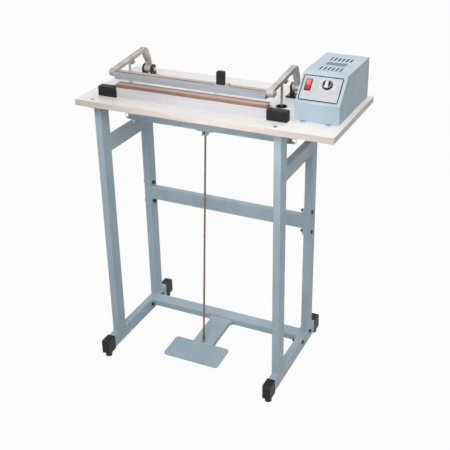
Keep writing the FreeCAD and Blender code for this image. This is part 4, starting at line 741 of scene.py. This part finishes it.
for side in SIDES:
    foot = rod_foot(side) + Vector((0.0, 0.0, PULL_ROD_CHAMFER))
    name = f"{side}_rod_thread"
    thread(name, foot, PULL_ROD_RADIUS, PULL_ROD_THREAD, "pull_frame", "zinc_steel")
low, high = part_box("pedal_rod")
rod_radius = (high.x - low.x) / 2
foot = Vector((middle("pedal_rod").x, low.y + rod_radius, low.z))
head = Vector((foot.x, high.y - rod_radius, high.z))
lean = Vector((0, 0, 1)).rotation_difference(head - foot).to_matrix().to_4x4()
thread("pedal_rod_thread", foot, rod_radius, PEDAL_ROD_THREAD, "pedal_link", "yellow_zinc", lean)
print("threads:", len(SIDES) + 1)

# %% [markdown]
# ## Screw recesses
# The pan-head screws on the board carry a cross for the driver. Cutting it would change a CAD
# solid, and at this size only its shade is seen. So the cross is two crossed slivers of
# shadow-dark metal lying in the head's top face.

# %% Cross recesses
CROSS_ARM, CROSS_HIGH = 0.22, 0.0002
TABLE_CROSS, SMALL_CROSS = 0.0062, 0.0044
TABLE_SCREW_RADIUS = 0.006
BRACKET_REACH = (0.0255, 0.014)
BOX_TAB_IN, BOX_TAB_REACH, BOX_TAB_DROP = 0.007, 0.04, 0.003
SHADOW = moulded("recess_shadow", rgb(30, 30, 32), rgb(44, 44, 46), 0.5, 0.7)


def crosses(name, spots, size):
    bm = bmesh.new()
    for spot in spots:
        block(bm, (size, size * CROSS_ARM, CROSS_HIGH), spot)
        block(bm, (size * CROSS_ARM, size, CROSS_HIGH), spot)
    piece(name, bm, SHADOW, "stand")
    print(name, len(spots))


def around(centre, reach, height):
    """Four spots at one height, a given way either side of a centre."""
    signs = [(x, y) for x in (-1, 1) for y in (-1, 1)]
    return [(centre.x + x * reach[0], centre.y + y * reach[1], height) for x, y in signs]


low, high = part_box("table_screws")
half = (high - low) / 2
screw_reach = (half.x - TABLE_SCREW_RADIUS, half.y - TABLE_SCREW_RADIUS)
table_spots = around(middle("table_screws"), screw_reach, high.z)
crosses("table_screw_crosses", table_spots, TABLE_CROSS)
screw_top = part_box("base_screws")[1].z
bracket_spots = []
for side in SIDES:
    bracket_spots += around(middle(f"{side}_pivot_bracket"), BRACKET_REACH, screw_top)
crosses("bracket_screw_crosses", bracket_spots, SMALL_CROSS)
tab_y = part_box("control_base")[0].y + BOX_TAB_IN
box_x = middle("control_base").x
box_spots = [(box_x + x, tab_y, screw_top - BOX_TAB_DROP) for x in (-BOX_TAB_REACH, BOX_TAB_REACH)]
crosses("box_screw_crosses", box_spots, SMALL_CROSS)

# %% [markdown]
# ## Grommets
# Where each pull rod goes through the board there is a black ring, so that the rod cannot fray
# the laminate. A plain torus would have no wall in the hole. It is one outline, a lip on the
# board and a wall down the hole, spun about the hole's axis.

# %% Rod grommets
GROMMET_OUTLINE = (
    (0.0140, -0.0195), (0.0140, 0.0012), (0.0148, 0.0020), (0.0180, 0.0016),
    (0.0186, 0.0002), (0.0163, 0.0002), (0.0163, -0.0195),
)
GROMMET_STEPS = 40
board_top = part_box("tabletop")[1].z
for side in SIDES:
    bm = bmesh.new()
    lip = outline(bm, [(radius, 0.0, height) for radius, height in GROMMET_OUTLINE], closed=True)
    spin_round(bm, lip, GROMMET_STEPS)
    rod = rod_foot(side)
    place = Matrix.Translation((rod.x, rod.y, board_top))
    name = f"{side}_rod_grommet"
    piece(name, bm, FINISH["black_plastic"], "stand", place)
print("grommets:", len(SIDES))

# %% [markdown]
# ## The plain plate on the box
# Between the two rows of vents the box carries a dark plate, thin and satin, with softened
# corners. It could be a patch of colour on the box, but then it would have no edge to catch the
# light. A block whose upright edges are bevelled is enough.

# %% Bare plate
PLATE_SIZE, PLATE_Y, PLATE_LIFT = (0.064, 0.028, 0.0006), 0.0647, 0.0002
PLATE_CORNER = 0.002
PLATE = moulded("satin_plate", rgb(104, 106, 110), rgb(120, 122, 126), 0.4, 0.5)
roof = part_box("control_cover")[1].z
bm = bmesh.new()
block(bm, PLATE_SIZE, (middle("control_cover").x, PLATE_Y, roof + PLATE_LIFT))
heights = {edge: abs(edge.verts[0].co.z - edge.verts[1].co.z) for edge in bm.edges}
rises = [edge for edge, height in heights.items() if height > PLATE_SIZE[2] / 2]
bmesh.ops.bevel(
    bm, geom=rises, offset=PLATE_CORNER, affect="EDGES", segments=4, profile=0.5, material=-1
)
piece("bare_plate", bm, PLATE, "stand")
print("plate at", round(roof, 4))

# %% [markdown]
# ## Weld beads
# The stand is welded: short beads lie in the corners where legs meet runners and rails. A bead
# looks like a row of overlapping coins. Separate coins would leave hidden faces, so its outline
# is a short line with ripples, spun about the corner that it lies in; half of it is then inside
# the tubes, as with a real weld.

# %% Welds
BEAD_LENGTH, BEAD_RADIUS, BEAD_STEPS = 0.0225, 0.0022, 12
RIPPLES, RIPPLE_DEPTH = 9, 0.14


def bead(bm, at):
    last = 4 * RIPPLES
    points = []
    for spot in range(last + 1):
        share = spot / last
        swell = 1.0 + RIPPLE_DEPTH * math.sin(math.tau * RIPPLES * share)
        height = 0.0 if spot in (0, last) else BEAD_RADIUS * swell
        points.append(at + Vector((BEAD_LENGTH * (share - 0.5), 0.0, height)))
    spin_round(bm, outline(bm, points), BEAD_STEPS, axis=(1, 0, 0), cent=at)


bm = bmesh.new()
for side in SIDES:
    runner_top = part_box(f"{side}_runner")[1].z
    welded = [(f"{end}_{side}_leg", runner_top) for end in ("front", "rear")]
    welded.append((f"{side}_top_rail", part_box(f"{side}_top_rail")[0].z))
    for tube, height in welded:
        low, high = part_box(tube)
        for y in (low.y, high.y):
            bead(bm, Vector(((low.x + high.x) / 2, y, height)))
welds = piece("weld_beads", bm, FINISH["stand_paint"], "stand", crease=70.0)
print("weld faces:", len(welds.data.polygons))

# %% [markdown]
# ## Floor
# The photograph is a cut-out on white. A white floor would throw so much light back up that the
# undersides lose their shade. So the floor that light falls on is a middling grey, and what the
# camera or a shiny piece sees of it is mixed with a white glow. A soft shadow is left in it.

# %% Floor
FLOOR_SIZE, FLOOR_GREY, GLOW_SHARE = 30.0, (0.5, 0.5, 0.5, 1.0), 0.95


def looked_at(tree):
    """1 for rays from the camera or off a shiny piece, and 0 for rays that carry light."""
    rays = tree.nodes.new("ShaderNodeLightPath")
    seen = rays.outputs["Is Camera Ray"]
    for name in ("Is Glossy Ray", "Is Transmission Ray"):
        seen = maths(tree, "MAXIMUM", seen, rays.outputs[name])
    return seen


finish, tree, shader = new_finish("studio_floor", {"Base Color": FLOOR_GREY, "Roughness": 0.9})
glow = tree.nodes.new("ShaderNodeEmission")
both = tree.nodes.new("ShaderNodeMixShader")
tree.links.new(maths(tree, "MULTIPLY", looked_at(tree), GLOW_SHARE), both.inputs["Fac"])
tree.links.new(shader.outputs["BSDF"], both.inputs[1])
tree.links.new(glow.outputs["Emission"], both.inputs[2])
tree.links.new(both.outputs["Shader"], tree.nodes["Material Output"].inputs["Surface"])
bm = bmesh.new()
bmesh.ops.create_grid(bm, x_segments=1, y_segments=1, size=FLOOR_SIZE)
mesh = bpy.data.meshes.new("studio_floor")
bm.to_mesh(mesh)
bm.free()
mesh.materials.append(finish)
floor = bpy.data.objects.new("studio_floor", mesh)
scene.collection.objects.link(floor)
print("floor laid")

# %% [markdown]
# ## Light
# The machine is lit softly from above the camera. Small lamps would draw hard shadows, so two
# large soft ones do the work, a narrow one picks out the jaw, and the white world fills the rest
# at a plain level, so that the colours come out about as they are written.

# %% Lamps and world
LAMPS = (  # name, place, aim, width, watts, spread in degrees
    ("key_lamp", (0.6, -1.9, 2.7), (0.1, 0.0, 0.8), 1.5, 54.0, 180.0),
    ("front_lamp", (0.7, -2.6, 1.55), (0.05, -0.13, 1.03), 0.4, 0.4, 18.0),
    ("top_lamp", (0.4, 0.8, 3.4), (0.0, 0.0, 0.8), 2.0, 27.0, 180.0),
)
ROOM_LIGHT, ROOM_SEEN = 0.36, 1.0
for name, place, aim, width, watts, spread in LAMPS:
    light = bpy.data.lights.new(name, "AREA")
    light.shape = "DISK"
    light.size = width
    light.energy = watts
    light.spread = math.radians(spread)
    lamp = bpy.data.objects.new(name, light)
    lamp.location = place
    lamp.rotation_euler = (Vector(aim) - Vector(place)).to_track_quat("-Z", "Y").to_euler()
    scene.collection.objects.link(lamp)
world = bpy.data.worlds.new("white_room")
scene.world = world
world.use_nodes = True
tree = world.node_tree
room = tree.nodes["Background"]
room.inputs["Color"].default_value = WHITE
brightness = span(tree, looked_at(tree), ROOM_LIGHT, ROOM_SEEN)
tree.links.new(brightness, room.inputs["Strength"])
print("lamps:", len(LAMPS))
